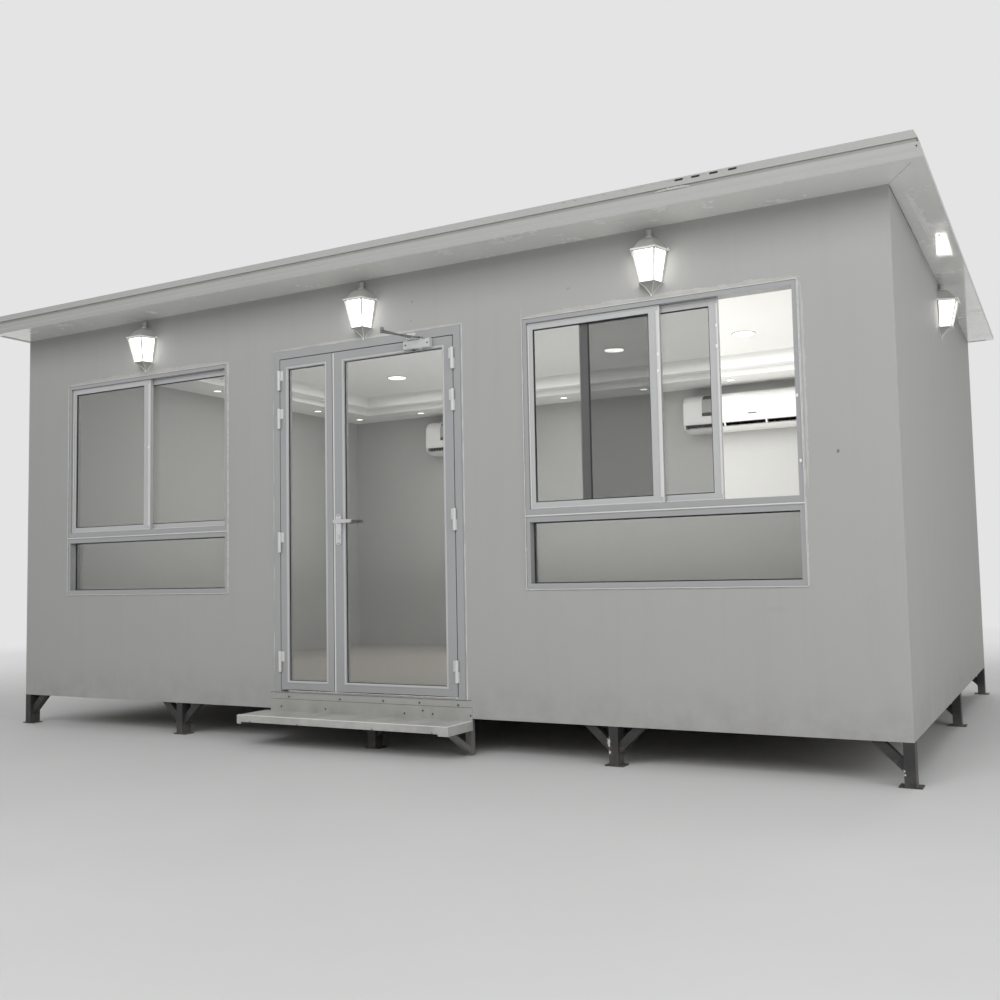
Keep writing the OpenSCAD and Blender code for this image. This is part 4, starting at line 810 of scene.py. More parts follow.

# ribs of the meeting stile and the pull stile, painted lighter as painted highlight, and their catches:
# rounded slabs;
# the catches' places are x, depth and height from the booth's corner
rib = {"front": (0.021, 0.0042), "rear": (0.012, 0.004), "end": 0.028, "rearFrom": 0.03}
catch = {"size": (0.009, 0.018), "corner": 0.004,
         "profile": [(0, -sunk), (0, 0.003), (0.0012, 0.0046), (0.003, 0.005)],
         "spots": [(4.845, 0.0078, 2.105), (4.843, 0.0078, 2.019), (5.149, 0.035, 2.222),
                   (5.147, 0.035, 2.117), (5.545, -0.007, 1.821), (5.5495, -0.007, 1.506),
                   (1.21, 0.0078, 1.9), (1.888, 0.035, 1.9)]}
ribs = []
for low, high in sashes:
    wide, rise = rib["front" if low[1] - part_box("left_window_frame")[0].y < rib["rearFrom"] else "rear"]
    shape = [(-wide, -sunk), (0.0015 - wide, 0.7 * rise), (0.004 - wide, rise), (-0.0035, rise),
             (-0.0008, 0.7 * rise), (-sunk, -sunk)]
    column = [(high[0], low[1], z) for z in (low[2] + rib["end"], high[2] - rib["end"])]
    ribs.append(run(column, xAxis, backs, shape))
catches = [pad(at(*spot), catch["size"], catch["corner"], catch["profile"]) for spot in catch["spots"]]
addPiece("sashRibs", ribs, paintedHighlightTrim)
addPiece("sashCatches", catches, paleTrimAndHighlight)

# sealant beads round the window frames and up the sides and over the head of the door frame
seal = {"corner": 0.006, "spacing": 0.009, "width": 0.008, "rise": 0.0036}
seals = [sealedEdge((low.x, low.z), (high.x, high.z), frontY, seal, 11 + k)
         for k, (low, high) in enumerate(windowFrames)]
doorLow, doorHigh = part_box("door_frame")


def sealRun(start, end, side, seed):  # a half-round bead whose size follows a wandering line
    start, end = np.asarray(start), np.asarray(end)
    length = np.linalg.norm(end - start)
    t = np.linspace(0, 1, int(length / seal["spacing"]))
    path = start + t[:, None] * (end - start)
    return run(path, side, backs, halfRound(seal["width"] / 2, seal["rise"]),
               0.6 + 0.7 * wobble(t, seed, 7, 16.0))


for start, end, side in (((doorLow.x, doorLow.z), (doorLow.x, doorHigh.z), xAxis),
                         ((doorHigh.x, doorLow.z), (doorHigh.x, doorHigh.z), xAxis),
                         ((doorLow.x, doorHigh.z), (doorHigh.x, doorHigh.z), zAxis)):
    seals.append(sealRun((start[0], frontY, start[1]), (end[0], frontY, end[1]), side,
                         int(100 * start[0]) % 50 + 60))
addPiece("edgeSealant", seals, sealantSkin)

# plaster smeared over the gaps above both windows, at both edges of the right one and over the door
plaster = {"left": 0.01, "right": 0.02, "up": 0.003, "wide": 0.03, "rise": 0.0016, "rings": 220}
smearRuns = [  # from and to as x and z, the way it spreads, width, rise, seed, rings
    ((4.066, 2.27), (4.066, 2.47), -xAxis, 0.012, 0.003, 33, 40),
    ((5.575, 1.35), (5.575, 2.38), xAxis, 0.016, 0.0012, 35, 80),
    ((2.31, 2.418), (3.69, 2.418), zAxis, 0.014, 0.0012, 37, 90)]
smears = []
for k, (low, high) in enumerate(windowFrames):
    ends = [(x, frontY, high.z + plaster["up"]) for x in (low.x + plaster["left"], high.x + plaster["right"])]
    smears.append(smear(*ends, zAxis, backs, plaster["wide"], plaster["rise"], 21 + k, plaster["rings"]))
for (x, z), (endX, endZ), side, wide, rise, seed, rings in smearRuns:
    smears.append(smear(at(x, 0.0, z), at(endX, 0.0, endZ), side, backs, wide, rise, seed, rings))
addPiece("plasterSmears", smears, plasterSkin)

# screws with cross recesses: cover strips, front of the tread, both faces of the lock plates
screwSpots = {"strips": [(2.804, 0.275), (3.115, 0.278), (3.365, 0.278), (3.621, 0.274), (2.42, 0.277),
                         (2.36, 0.216), (2.698, 0.214), (3.262, 0.213), (3.387, 0.234), (3.453, 0.218),
                         (3.7, 0.219)],
              "tread": [2.34, 2.693, 3.219, 3.61], "treadZ": 0.154, "lockInset": 0.01}
stripY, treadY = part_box("door_cover_strips")[0].y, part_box("step_tread")[0].y
screws = [screwHead((cornerX + x, stripY, z), turn=9 * x, size=1.2) for x, z in screwSpots["strips"]]
screws += [screwHead((cornerX + x, treadY, screwSpots["treadZ"]), turn=7 * x) for x in screwSpots["tread"]]
addPiece("stripScrews", screws, screwMetal)
plates = solidBoxes("lock_plates")
lockX = (plates[0][0][0] + plates[0][1][0]) / 2
lockLow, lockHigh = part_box("lock_plates")
lockLevels = (lockLow.z + screwSpots["lockInset"], lockHigh.z - screwSpots["lockInset"])
lockScrews = [screwHead((lockX, lockLow.y, z), turn=3 * z, size=0.7) for z in lockLevels]
lockScrews += [screwHead((lockX, lockHigh.y, z), yAxis, turn=3 * z, size=0.7) for z in lockLevels]
addPiece("lockScrews", lockScrews, screwMetal, "wide_leaf")

# hinge caps: low domes on the ends of the knuckles; the pins' lines are given from the booth's corner
dome = [(0.0094, -0.0005), (0.0093, 0.001), (0.0078, 0.0024), (0.0045, 0.0032), (0.0012, 0.0034)]
hinge = {"left": 2.362, "right": 3.625, "halfway": 3.0, "axis": 0.0095}
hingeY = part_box("frame_hinges")[0].y + hinge["axis"]
leafCaps = {"narrow_leaf": (hinge["left"], "narrow_leaf_hinges"),
            "wide_leaf": (hinge["right"], "wide_leaf_hinges")}
for body, (x, name) in leafCaps.items():
    tops = [high[2] for low, high in solidBoxes(name)]
    shells = [turned(dome, np.array([cornerX + x, hingeY, z]), zAxis) for z in tops]
    addPiece(body.replace("_leaf", "") + "HingeCaps", shells, hingePlastic, body)
feet = []
for low, high in solidBoxes("frame_hinges"):
    x = hinge["left" if low[0] - cornerX < hinge["halfway"] else "right"]
    feet.append(turned(dome, np.array([cornerX + x, hingeY, low[2]]), -zAxis))
addPiece("frameHingeCaps", feet, hingePlastic)

# a rounded strip down the wide leaf's meeting edge, painted lighter as painted highlight, and wavy rubber
# sweeps at the foot of both leaves
sweepForm = {"in": 0.004, "up": 0.0004, "wide": 0.006, "rise": 0.0018, "rings": 160}
wideLow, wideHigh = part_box("wide_leaf_frame")
astragal = [(0.0, -sunk), (0.0, 0.002), (0.0016, 0.0034), (0.0045, 0.0042), (0.0075, 0.0032), (0.009, 0.0016),
            (0.009, -sunk)]
meeting = [(wideLow.x + sunk, wideLow.y, z) for z in (wideLow.z + 0.004, wideHigh.z - 0.004)]
addPiece("meetingStrip", [run(meeting, xAxis, backs, astragal)], paintedHighlightTrim, "wide_leaf")
for body, seed in (("narrow_leaf", 41), ("wide_leaf", 43)):
    low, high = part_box(body + "_frame")
    ends = [(x, low.y, low.z + sweepForm["up"]) for x in (low.x + sweepForm["in"], high.x - sweepForm["in"])]
    sweep = smear(*ends, zAxis, backs, sweepForm["wide"], sweepForm["rise"], seed, sweepForm["rings"])
    addPiece(body.replace("_leaf", "") + "FootSweep", [sweep], rubberBlack, body)

# closer: rims round the fixing holes of its end caps and near-black discs in them as painted shade, under the
# spindle a round cap with a near-black hexagon in it as painted shade, and the screws of its bracket
closer = {"hole": 0.014, "spindle": 0.06,
          "rim": [(0.0052, -sunk), (0.0052, 0.0008), (0.0046, 0.0012), (0.0036, 0.0008), (0.0034, -sunk)],
          "holeShade": [(0.0036, -0.0003), (0.0036, 0.0003), (0.002, 0.0002), (0.0004, 0.0002)],
          "cap": [(0.011, -sunk), (0.011, 0.0022), (0.0095, 0.0032), (0.006, 0.0032)],
          "hexagon": [(0.0045, 0.0028), (0.0045, 0.0036), (0.002, 0.0036)]}
closerLow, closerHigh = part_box("closer_body")
closerZ = (closerLow.z + closerHigh.z) / 2
holeXs = (closerLow.x + closer["hole"], closerHigh.x - closer["hole"])
holes = [np.array([x, closerLow.y, closerZ]) for x in holeXs]
spindle = np.array([closerLow.x + closer["spindle"], (closerLow.y + closerHigh.y) / 2, closerLow.z])
rims = [turned(closer["rim"], hole, backs) for hole in holes]
rims.append(turned(closer["cap"], spindle, -zAxis, 24))
# near-black discs in the holes and the hexagon socket: painted shade
holeShades = [turned(closer["holeShade"], hole, backs) for hole in holes]
holeShades.append(turned(closer["hexagon"], spindle, -zAxis, 6))
addPiece("closerRims", rims, screwMetal, "wide_leaf")
addPiece("closerHoleShades", holeShades, darkMarksAndShade, "wide_leaf")
bracketLow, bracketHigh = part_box("closer_bracket")
bracketScrews = [screwHead((x, doorLow.y - 0.0035, bracketLow.z + 0.006), turn=40 * x, size=0.75)
                 for x in (bracketLow.x + 0.008, bracketHigh.x - 0.008)]
addPiece("bracketScrews", bracketScrews, screwMetal)

# ceiling lights: a round bezel with a lip, standing just outside each lit disc
bezel = {"large": 0.009, "small": 0.0065, "largeFrom": 0.05, "inside": 0.0006, "around": 40}
bezels = []
for low, high in solidBoxes("ceiling_lights"):
    big = (high[0] - low[0]) / 2
    inner = big - bezel["inside"]
    middle = np.array([(low[0] + high[0]) / 2, (low[1] + high[1]) / 2, high[2]])
    wide = bezel["large" if big > bezel["largeFrom"] else "small"]
    row = np.array([(inner, 0.0008), (inner, 0.004), (big + 0.002, 0.0052), (big + 0.6 * wide, 0.0042),
                    (big + wide, 0.0016), (big + wide, -sunk), (inner, -sunk)])
    # turned() closes its ends with two middle points; a ring open in the middle leaves them off
    ring = turned(row, middle, -zAxis, bezel["around"])[0][:-2].reshape(len(row), bezel["around"], 3)
    bezels.append(gridShell(ring, ringLoop=True))
addPiece("lampBezels", bezels, lampRim)

# indoor units: near-black lining of the outlet slot and upright fins in it as painted shade, light flap, end
# cheeks, a thin pale line across the front as painted highlight, bare badge; depths count forwards from a
# unit's back and heights up from its foot
unit = {"back": 0.143, "front": 0.205, "foot": 0.031, "top": 0.059, "shoulder": 0.234,
        "curve": (0.096, 0.145)}
back, front, foot, top = unit["back"], unit["front"], unit["foot"], unit["top"]
fin = {"from": 0.04, "until": 0.03, "spacing": 0.03, "thick": 0.0014}
shadeLinings, flaps, lines, badges = [], [], [], []
for low, high in solidBoxes("indoor_units"):
    base = np.array([low[0], high[1], low[2]])
    long = high[0] - low[0]
    # the slot's lining and the fins in it are near black as painted shade
    tray = [(-front + 0.006, foot - sunk), (-back + sunk, foot - sunk), (-back + sunk, top + sunk),
            (-front + 0.004, top + sunk), (-front + 0.004, top - 0.001), (-back - 0.001, top - 0.001),
            (-back - 0.001, foot + 0.001), (-front + 0.006, foot + 0.001)]
    ends = base + np.array([(0.012, 0, 0), (long - 0.012, 0, 0)])
    shadeLinings.append(run(ends, yAxis, zAxis, tray))
    for x in np.arange(fin["from"], long - fin["until"], fin["spacing"]):
        ends = base + np.array([(x, 0, 0), (x + fin["thick"], 0, 0)])
        shadeLinings.append(run(ends, yAxis, zAxis, [(-front + 0.03, foot), (-back, foot), (-back, top),
                                                (-front + 0.03, top)]))
    for x in (0.0, 0.33 * long, 0.66 * long, long - 0.014):  # cheeks and supports
        post = base + np.array([(x + 0.0004, 0, 0), (x + 0.0136, 0, 0)])
        flaps.append(run(post, yAxis, zAxis, [(-front + 0.009, foot - 0.001), (-back, foot - 0.001),
                                              (-back, top + 0.001), (-front + 0.0035, top + 0.001),
                                              (-front + 0.0045, foot + 0.012)]))
    vane = [(-front + 0.0095, foot - 0.002), (-front + 0.0085, foot + 0.0015), (-front + 0.013, foot + 0.003),
            (-back - 0.02, foot + 0.0035), (-back - 0.02, foot + 0.0018), (-front + 0.02, foot + 0.0005)]
    flaps.append(run(base + np.array([(0.016, 0, 0), (long - 0.016, 0, 0)]), yAxis, zAxis, vane))
    # a thin pale strip across the front: painted highlight
    lines.append(pad(base + np.array([0.439 * long, -front, 0.219]), (0.13 * long, 0.0034), 0.001,
                     [(0, -sunk), (0, 0.0004), (0.0005, 0.0006)]))
    badges.append(pad(base + np.array([0.559 * long, -front, 0.124]), (0.07 * long, 0.009), 0.002,
                      [(0, -sunk), (0, 0.0007), (0.0008, 0.0011)]))
addPiece("outletShadeLinings", shadeLinings, darkMarksAndShade)
addPiece("outletFlaps", flaps, unitPlastic)
addPiece("highlightLines", lines, paleTrimAndHighlight)
addPiece("bareBadges", badges, screwMetal)

# a bare sticker bent over the front of each unit: a pale sheet with a dark band at its head and its foot
sticker = {"sides": (0.165, 0.25), "foot": 0.129, "head": 0.317, "bands": ((0.13, 0.16), (0.277, 0.316)),
           "lift": 0.0006, "bandLift": 0.0011}


def stickerShell(base, low, high, lift, ends):
    # the casing's section: upright up to its shoulder, then a quarter of an ellipse leaning back;
    # the sheet lies a little in front of it
    height = np.linspace(low, high, 12)
    rise, reach = unit["curve"]
    lean = np.arcsin(((height - unit["shoulder"]) / rise).clip(0.0, 0.999))
    depth = reach * (1 - np.cos(lean)) - unit["front"]
    outer = np.stack([depth - lift, height + lift * np.sin(lean)], axis=1)
    inner = np.stack([depth + sunk, height], axis=1)[::-1]
    return run(base + np.array([(ends[0], 0, 0), (ends[1], 0, 0)]), yAxis, zAxis, np.vstack([outer, inner]))


sheets, bands = [], []
for low, high in solidBoxes("indoor_units"):
    base = np.array([low[0], high[1], low[2]])
    first, last = sticker["sides"]
    sheets.append(stickerShell(base, sticker["foot"], sticker["head"], sticker["lift"], (first, last)))
    bands += [stickerShell(base, *band, sticker["bandLift"], (first + 0.001, last - 0.001))
              for band in sticker["bands"]]
addPiece("stickerSheets", sheets, lampRim)
addPiece("stickerBands", bands, darkMarksAndShade)

# welds: rippled beads round the posts of all legs on their plates, and where braces meet post and frame
leg = {"xs": (0.025, 1.505, 3.03, 4.544, 5.975), "ys": (0.04, 2.11, 3.96), "half": (0.025, 0.04),
       "plate": 0.006, "braceHalf": 0.02, "onPost": (0.065, 0.124), "underFrame": (0.108, 0.17),
       "frameZ": 0.2026, "beads": (0.0032, 0.003, 0.0026)}
diagonal = 1.414  # length of two unit vectors at right angles, added
halfX, halfY = leg["half"]
plateBead, postBead, frameBead = leg["beads"]
welds = []
for y in leg["ys"]:
    for k, x in enumerate(leg["xs"]):
        corners = [at(x + sx * halfX, y + sy * halfY, leg["plate"])
                   for sx, sy in ((-1, -1), (1, -1), (1, 1), (-1, 1))]
        for start, end in zip(corners, corners[1:] + corners[:1]):
            side = np.cross(end - start, zAxis)
            welds.append(weld(start, end, (zAxis + side / np.linalg.norm(side)) / diagonal, plateBead))
        last = k == len(leg["xs"]) - 1
        for sign in ([1] if k == 0 else [-1] if last else [-1, 1]):
            for height in leg["onPost"]:
                ends = [at(x + sign * halfX, y + leg["braceHalf"] * s, height) for s in (-1, 1)]
                welds.append(weld(*ends, (zAxis + sign * xAxis) / diagonal, postBead))
            for reach in leg["underFrame"]:
                ends = [at(x + sign * reach, y + leg["braceHalf"] * s, leg["frameZ"]) for s in (-1, 1)]
                welds.append(weld(*ends, (sign * xAxis - zAxis) / diagonal, frameBead))
addPiece("legWelds", welds, legSteel)

# tread: a low rolled bead inside the front and right edges of its top, near white as painted highlight, fine
# lengthwise ridges
tread = {"front": 0.009, "side": 0.011, "end": 0.004, "firstStripe": 0.03, "spacing": 0.021, "stripes": 10,
         "roll": [(-0.0065, -sunk), (-0.0052, 0.0014), (0.0, 0.0024), (0.0052, 0.0014), (0.0065, -sunk)],
         "stripe": [(-0.0016, -sunk), (-0.001, 0.0012), (0.001, 0.0012), (0.0016, -sunk)], "flatten": 0.35}
treadLow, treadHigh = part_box("step_tread")
corner = (treadHigh.x - tread["side"], treadLow.y + tread["front"], treadHigh.z)
rolls = [run([(treadLow.x + tread["end"], corner[1], treadHigh.z), corner], yAxis, zAxis, tread["roll"]),
         run([corner, (corner[0], treadHigh.y - tread["end"], treadHigh.z)], xAxis, zAxis, tread["roll"])]
stripes = [(treadLow.y + tread["firstStripe"] + tread["spacing"] * k) for k in range(tread["stripes"])]
shallow = [(x, tread["flatten"] * z) for x, z in tread["stripe"]]
stripeEnds = (treadLow.x + 0.01, treadHigh.x - tread["side"] - 0.012)
ribShells = [run([(x, y, treadHigh.z) for x in stripeEnds], yAxis, zAxis, shallow) for y in stripes]
addPiece("treadStripes", ribShells, treadPaint)
# the rolled beads take the near-white paint as painted highlight
addPiece("treadRolls", rolls, paleTrimAndHighlight)

# fascia: filler in the corner mitre and in the groove, lumps, and dark half-moons under the crown's edge that
# are painted shade of notches; the crown's foot and the way up its slope are depth and height
crown = {"foot": (-0.263, 2.866), "way": (0.017, 0.0385)}
slope = np.array([0.0, *crown["way"]]) / math.hypot(*crown["way"])


def onSlope(x, share):  # a place on the crown's slope, from its foot at 0 to its top at 1
    (y, z), (back, up) = crown["foot"], crown["way"]
    return at(x, y + back * share, z + up * share)


lump = {"share": 0.95, "lower": 0.004, "size": (0.004, 0.0035),
        "spots": [(4.46, 0.02), (4.52, 0.012), (4.61, 0.026), (4.68, 0.014), (4.79, 0.018), (4.86, 0.03),
                  (4.95, 0.016), (5.02, 0.022), (5.11, 0.012), (5.2, 0.014), (5.29, 0.012), (5.38, 0.02)]}
lumps = [blob(onSlope(x, lump["share"]) - slope * lump["lower"], (size, *lump["size"]), int(1000 * x))
         for x, size in lump["spots"]]
grooveFill = (at(4.956, -0.2745, 2.8425), at(5.134, -0.2745, 2.8425))
lumps.append(smear(*grooveFill, zAxis, backs, 0.016, 0.004, 51, 40))
lumps.append(blob(at(6.165, -0.2745, 2.808), (0.006, 0.004, 0.004), 3))
lumps.append(blob(at(6.176, -0.278, 2.778), (0.005, 0.004, 0.005), 4))
addPiece("fasciaFiller", lumps, plasterSkin)
# near-black pads on the crown's slope as painted shade of notches, and a dark spot at its corner
notch = {"xs": (5.072, 5.156, 5.246, 5.338), "share": 0.74, "size": (0.044, 0.014), "corner": 0.0066,
         "profile": [(0, -sunk), (0.0004, 0.0005), (0.002, 0.0007)]}
notches = [pad(onSlope(x, notch["share"]), notch["size"], notch["corner"], notch["profile"], xAxis, slope)
           for x in notch["xs"]]
notches.append(blob(at(6.159, -0.2738, 2.822), (0.0035, 0.0012, 0.004), 5))
addPiece("crownNotchShade", notches, darkMarksAndShade)

# soffit: a strip of torn film and specks where the right lantern mirrors in the sheet, near white as torn
# film and painted reflection; the undersides of the fascia, and dark lines: the corner mitre,
# the joint on the right wall and the edges of the door's cover strips
filmAndReflectionMarks = [smear(at(6.046, 0.15, 2.7702), at(6.062, 1.12, 2.7702), xAxis, -zAxis, 0.05, 0.0008, 61, 240),
         blob(at(6.118, 0.949, 2.7695), (0.006, 0.009, 0.0012), 6),
         blob(at(6.126, 1.083, 2.7695), (0.004, 0.006, 0.001), 7)]
eavesRow = [(0.0004, 0.0003), (0.0004, -0.0005), (0.0512, -0.0005), (0.0512, 0.0003)]
eaves = run([at(-0.0298, -0.232, 2.768), at(6.133, -0.232, 2.768), at(6.133, 4.018, 2.768)],
            [(0, -1, 0), (1, -1, 0), (1, 0, 0)], zAxis, eavesRow)
addPiece("fasciaUndersides", [eaves], soffitSheet)
addPiece("filmAndReflectionStrip", filmAndReflectionMarks, filmAndReflection)
mitreWay = np.array([at(6.0, 0.0, 2.77), at(6.133, -0.232, 2.77)])
mitreSide = np.cross(mitreWay[1] - mitreWay[0], zAxis) / np.linalg.norm(mitreWay[1] - mitreWay[0])
thin = [(-0.0007, 0.0003), (-0.0007, -0.0003), (0.0007, -0.0003), (0.0007, 0.0003)]
seams = [run(mitreWay, mitreSide, zAxis, thin)]
t = np.linspace(0, 1, 60)
crack = np.stack([cornerX + 6.0004 + 0.0003 * wobble(t, 71), frontY + 0.014 + 1.016 * t,
                  2.7688 - 0.002 * wobble(t, 72)], axis=1)
crackRow = [(-0.0016, -0.0008), (0.0016, -0.0008), (0.0012, 0.0006), (-0.0012, 0.0006)]
seams.append(run(crack, zAxis, xAxis, crackRow, 0.4 + 0.9 * wobble(t, 73)))
stripLow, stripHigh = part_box("door_cover_strips")
for height in (0.262, stripHigh.z - 0.0008):
    ends = [(x, stripY, height) for x in (stripLow.x + 0.002, stripHigh.x - 0.002)]
    seams.append(run(ends, zAxis, backs, thin))
addPiece("seamLines", seams, darkMarksAndShade)

# painted shade at the back of the fascia's groove, on both sides that have it
grooveRow = [(0.0, -sunk), (0.0, 0.0006), (0.0174, 0.0006), (0.0174, -sunk)]
frontGroove = np.array([at(-0.028, -0.2555, 2.8428), at(6.156, -0.2555, 2.8428)])
sideGroove = np.array([at(6.1565, -0.255, 2.8428), at(6.1565, 4.018, 2.8428)])
grooves = [run(frontGroove, zAxis, backs, grooveRow), run(sideGroove, zAxis, xAxis, grooveRow)]
addPiece("grooveShade", grooves, grooveShade)

# roof: lap seams of the membrane from front to back, each a low ridge with a soft edge
deckLow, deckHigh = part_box("roof_deck")
lap = [(-0.03, -sunk), (-0.0296, 0.0012), (-0.02, 0.0018), (0.02, 0.0024), (0.03, 0.0026), (0.031, -sunk)]
laps = [run([(x, deckLow.y + 0.03, deckHigh.z), (x, deckHigh.y - 0.03, deckHigh.z)], xAxis, zAxis, lap)
        for x in np.linspace(deckLow.x, deckHigh.x, 7)[1:-1]]
addPiece("roofLaps", laps, roofMembrane)
print("booth pieces shaped")

# lanterns: beads carried round the half-hexagon plan with mitred corners, ribs, knobs, a tip and collars; the
# bright set is painted near white as painted highlight, the dark set keeps the cage's paint
lantern = {"plan": [(-0.1, 0.0), (-0.0635, -0.115), (0.0635, -0.115), (0.1, 0.0)],
           "mitre": [(-1.0493, 0.0), (-0.7317, -1.0), (0.7317, -1.0), (1.0493, 0.0)], "rim": 2.64,
           "foot": [0.1, 0.2, 0.34, 0.52, 0.74, 1.0], "centres": (1.195, 3.005, 4.825), "side": 1.95,
           "footZ": -0.223, "footStep": 0.0104, "footScale": 0.6, "cageZ": [-0.166, -0.009],
           "frontCage": [0.6, 0.942], "backCage": [0.595, 0.936],
           "tip": [(0.0008, -0.012), (0.0034, -0.0105), (0.0046, -0.007), (0.0034, -0.0035),
                   (0.0024, -0.002), (0.0044, -0.0005), (0.0044, 0.002)],
           "collar": [(0.0125, 0.0), (0.0188, 0.0), (0.0196, 0.0016), (0.0188, 0.0034), (0.0175, 0.0048),
                      (0.0125, 0.0048)]}
plan = np.array([(x, y, 0.0) for x, y in lantern["plan"]])
mitre = np.array([(x, y, 0.0) for x, y in lantern["mitre"]])


def roundRow(radius, inside=0.0006, count=5):  # the outer half of a circle, closed a little inside
    angle = np.linspace(-math.pi / 2, math.pi / 2, count)
    arc = radius * np.stack([np.cos(angle), np.sin(angle)], axis=1)
    return np.vstack([[(-inside, -radius)], arc, [(-inside, radius)]])


def planBead(scale, height, radius):
    path = plan * scale + (0, 0, height)
    return run(path, mitre, zAxis, roundRow(radius))


def edgeRib(corner, heights, scales, radius):
    # a round rod up one corner of the plan, following its scale at each height
    path = plan[corner] * np.asarray(scales)[:, None] + np.outer(heights, zAxis)
    out = mitre[corner] / np.linalg.norm(mitre[corner])
    side = np.array([-out[1], out[0], 0.0])
    angle = np.arange(8) * math.pi / 4
    return run(path, side, out, radius * np.stack([np.cos(angle), np.sin(angle)], axis=1))


def lanternShells():
    footZ = lantern["footZ"] + lantern["footStep"] * np.arange(len(lantern["foot"]))
    footScale = lantern["footScale"] * np.array(lantern["foot"])
    # painted highlight: this set takes the near-white paint where the lantern's glow catches the cage
    bright = [planBead(1.0, -0.0045, 0.0052), planBead(0.648, -0.168, 0.0024)]
    dark = [planBead(0.99, -0.0112, 0.0018)]
    for corner in (1, 2):
        bright.append(edgeRib(corner, footZ, footScale, 0.0022 if corner == 1 else 0.0014))
        (bright if corner == 1 else dark).append(edgeRib(corner, lantern["cageZ"], lantern["frontCage"],
                                                         0.0044))
    for corner in (0, 3):
        bright.append(edgeRib(corner, footZ, footScale * 0.985, 0.0022))
        dark.append(edgeRib(corner, lantern["cageZ"], lantern["backCage"], 0.0034))
        bright.append(blob(plan[corner] * (0.96, 1, 1) + (0, -0.006, 0.003), (0.0055, 0.0055, 0.005),
                           corner + 7))
    bright.append(turned(lantern["tip"], np.array([0.0, -0.0075, -0.2215]), zAxis, 14))
    bright.append(turned(lantern["collar"], np.array([0.0, -0.0205, 0.0715]), zAxis, 24))
    return bright, dark


def placed(shells, matrix, centre):
    return [(points @ matrix.T + centre, groups) for points, groups in shells]


paintedHighlightShells, darkShells = lanternShells()
spots = [(np.eye(3), at(x, 0.0, lantern["rim"])) for x in lantern["centres"]]
quarterTurn = np.array([(0.0, -1.0, 0.0), (1.0, 0.0, 0.0), (0.0, 0.0, 1.0)])
spots.append((quarterTurn, at(6.0, lantern["side"], lantern["rim"])))  # the one on the right wall
addPiece("paleTrimAndHighlight", [s for spot in spots for s in placed(paintedHighlightShells, *spot)], paleTrimAndHighlight)
addPiece("lanternRibs", [s for spot in spots for s in placed(darkShells, *spot)], lanternMetal)

print("lanterns dressed")


# studio: pale floor, pale sky, large soft lights in front, at the right, behind and at the left,
# and two more in the room, one shining down and one up
studio = {"floor": 214, "sky": 214, "skyPower": 0.5, "backdrop": 228, "side": 60.0, "fade": (4.5, 13.0),
          "room": 128.0, "roomUp": 82.0, "roomEdge": 0.3}
lamps = [  # name, size, power, place, target
    ("keyLight", (7.0, 5.0), 390.0, (1.5, -9.0, 6.0), (0.0, 0.0, 1.2)),
    ("fillLight", (5.0, 4.0), 190.0, (8.5, -5.0, 3.4), (1.0, 0.0, 1.2)),
    ("rearLight", (7.0, 5.0), 420.0, (2.0, 10.0, 6.0), (0.0, 0.0, 1.4)),
    ("leftLight", (5.0, 4.0), 120.0, (-9.5, 1.0, 4.0), (-1.0, 0.0, 1.2))]


def seenRays(tree):  # 1 for what the camera sees, straight or mirrored or through glass
    kinds = addNode(tree, "ShaderNodeLightPath").outputs
    seen = mathNode(tree, "ADD", kinds["Is Camera Ray"], kinds["Is Glossy Ray"])
    return mathNode(tree, "ADD", seen, kinds["Is Transmission Ray"], clamp=True)


def mixShaders(tree, factor, first, second, output):
    mix = addNode(tree, "ShaderNodeMixShader")
    for socket, source in zip(mix.inputs, (factor, first, second)):
        tree.links.new(source, socket)
    tree.links.new(mix.outputs[0], tree.nodes[output].inputs["Surface"])


def makeStage():
    side = studio["side"]
    mesh = bpy.data.meshes.new("studioFloor")
    mesh.from_pydata([(-side, -side, 0), (side, -side, 0), (side, side, 0), (-side, side, 0)], [],
                     [(0, 1, 2, 3)])
    floor = bpy.data.objects.new("studioFloor", mesh)
    bpy.context.scene.collection.objects.link(floor)
    floor.location.z = -0.0005
    material, tree, vector, shader = startMaterial("studioFloor")
    cloud = rangeNode(tree, noiseNode(tree, vector, 0.8, 3.0, 0.5), 0.3, 0.7)
    tint = mixColor(tree, cloud, linear(studio["floor"] - 2), linear(studio["floor"] + 2))
    tree.links.new(tint, shader.inputs["Base Color"])
    shader.inputs["Roughness"].default_value = 0.9
    shader.inputs["Specular IOR Level"].default_value = 0.2
    plain = addNode(tree, "ShaderNodeEmission")  # far off the floor turns into the backdrop
    plain.inputs["Color"].default_value = linear(studio["backdrop"])
    far = rangeNode(tree, vectorNode(tree, "LENGTH", vector), *studio["fade"], 0.0, 1.0, True)
    far = mathNode(tree, "MULTIPLY", far, seenRays(tree))
    mixShaders(tree, far, shader.outputs[0], plain.outputs[0], "Material Output")
    mesh.materials.append(material)


def areaLight(name, size, power, place, target):
    data = bpy.data.lights.new(name, "AREA")
    data.shape = "RECTANGLE"
    data.size, data.size_y = size
    data.energy = power
    lamp = bpy.data.objects.new(name, data)
    bpy.context.scene.collection.objects.link(lamp)
    lamp.location = place
    lamp.rotation_mode = "QUATERNION"
    lamp.rotation_quaternion = (Vector(target) - Vector(place)).to_track_quat("-Z", "Y")
    lamp.visible_camera = False
    lamp.visible_glossy = False
    lamp.visible_transmission = False
    return lamp


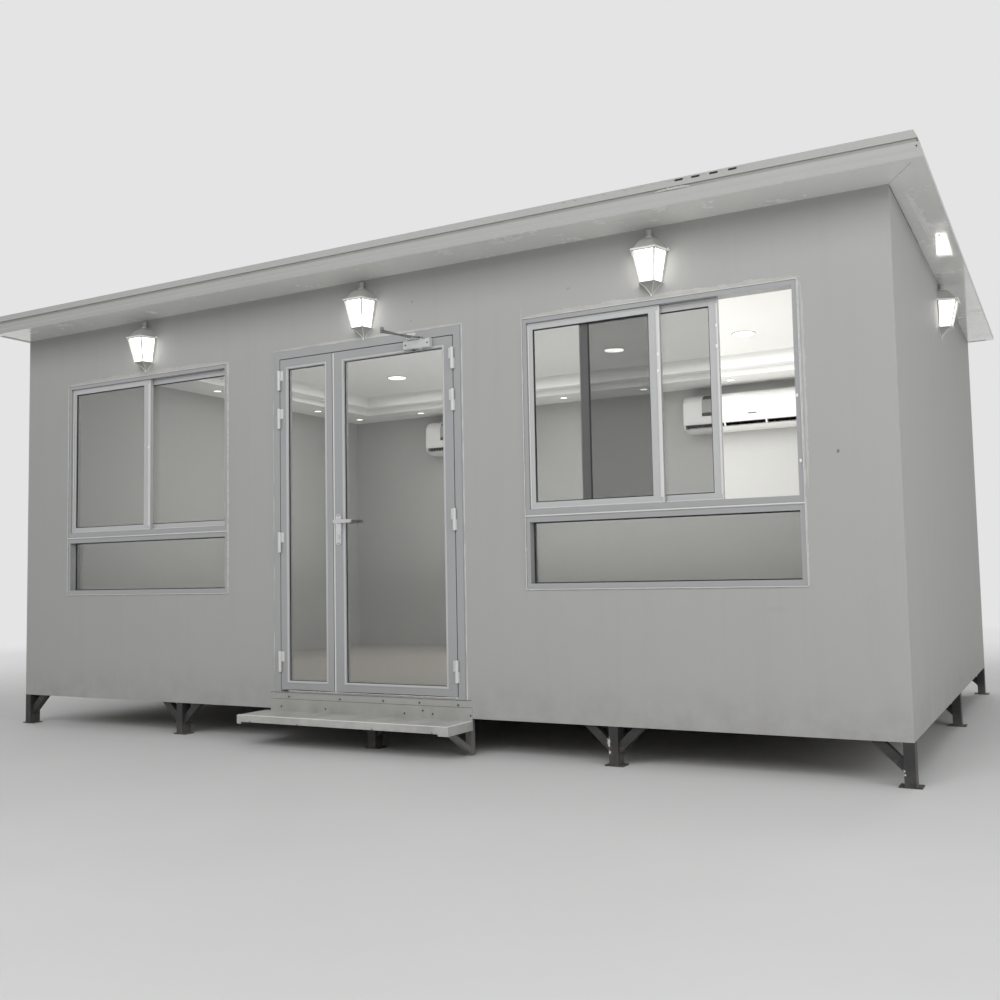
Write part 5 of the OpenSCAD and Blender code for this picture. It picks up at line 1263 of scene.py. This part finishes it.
makeStage()
world = bpy.data.worlds.new("studioSky")
bpy.context.scene.world = world
world.use_nodes = True
lightSky = world.node_tree.nodes["Background"]
lightSky.inputs["Color"].default_value = linear(studio["sky"])
lightSky.inputs["Strength"].default_value = studio["skyPower"]
backdrop = addNode(world.node_tree, "ShaderNodeBackground")  # what the camera, metal and glass see
backdrop.inputs["Color"].default_value = linear(studio["backdrop"])
mixShaders(world.node_tree, seenRays(world.node_tree), lightSky.outputs[0], backdrop.outputs[0],
           "World Output")
for lamp in lamps:
    areaLight(*lamp)
roomLow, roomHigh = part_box("ceiling_centre")
roomSize = (roomHigh.x - roomLow.x - studio["roomEdge"], roomHigh.y - roomLow.y - studio["roomEdge"])
roomMiddle = (roomLow.y + roomHigh.y) / 2
areaLight("roomLight", roomSize, studio["room"], (0.0, roomMiddle, roomLow.z - 0.02), (0.0, roomMiddle, 0.0))
areaLight("roomUpLight", roomSize, studio["roomUp"], (0.0, roomMiddle, 0.9), (0.0, roomMiddle, 2.6))

# camera: place, turn and lens from the fit of the booth's corners in the photograph
view = {"turn": (0.4988, 0.0712, -0.0195), "place": (6.6891, -5.1026, 0.9879), "lens": 38.1, "sensor": 36.0,
        "clip": (0.05, 200.0)}
yaw, pitch, roll = view["turn"]
forward = np.array([-math.sin(yaw) * math.cos(pitch), math.cos(yaw) * math.cos(pitch), math.sin(pitch)])
right = np.array([math.cos(yaw), math.sin(yaw), 0.0])
up = np.cross(right, forward)
turnedRight = math.cos(roll) * right + math.sin(roll) * up
turnedUp = -math.sin(roll) * right + math.cos(roll) * up
cameraData = bpy.data.cameras.new("camera")
cameraData.sensor_width = view["sensor"]
cameraData.lens = view["lens"]
cameraData.clip_start, cameraData.clip_end = view["clip"]
camera = bpy.data.objects.new("camera", cameraData)
bpy.context.scene.collection.objects.link(camera)
turn = Matrix((turnedRight, turnedUp, -forward)).transposed()
camera.matrix_world = Matrix.Translation(Vector(at(*view["place"]))) @ turn.to_4x4()
bpy.context.scene.camera = camera
bpy.context.scene.view_settings.view_transform = "Standard"
print("studio ready")
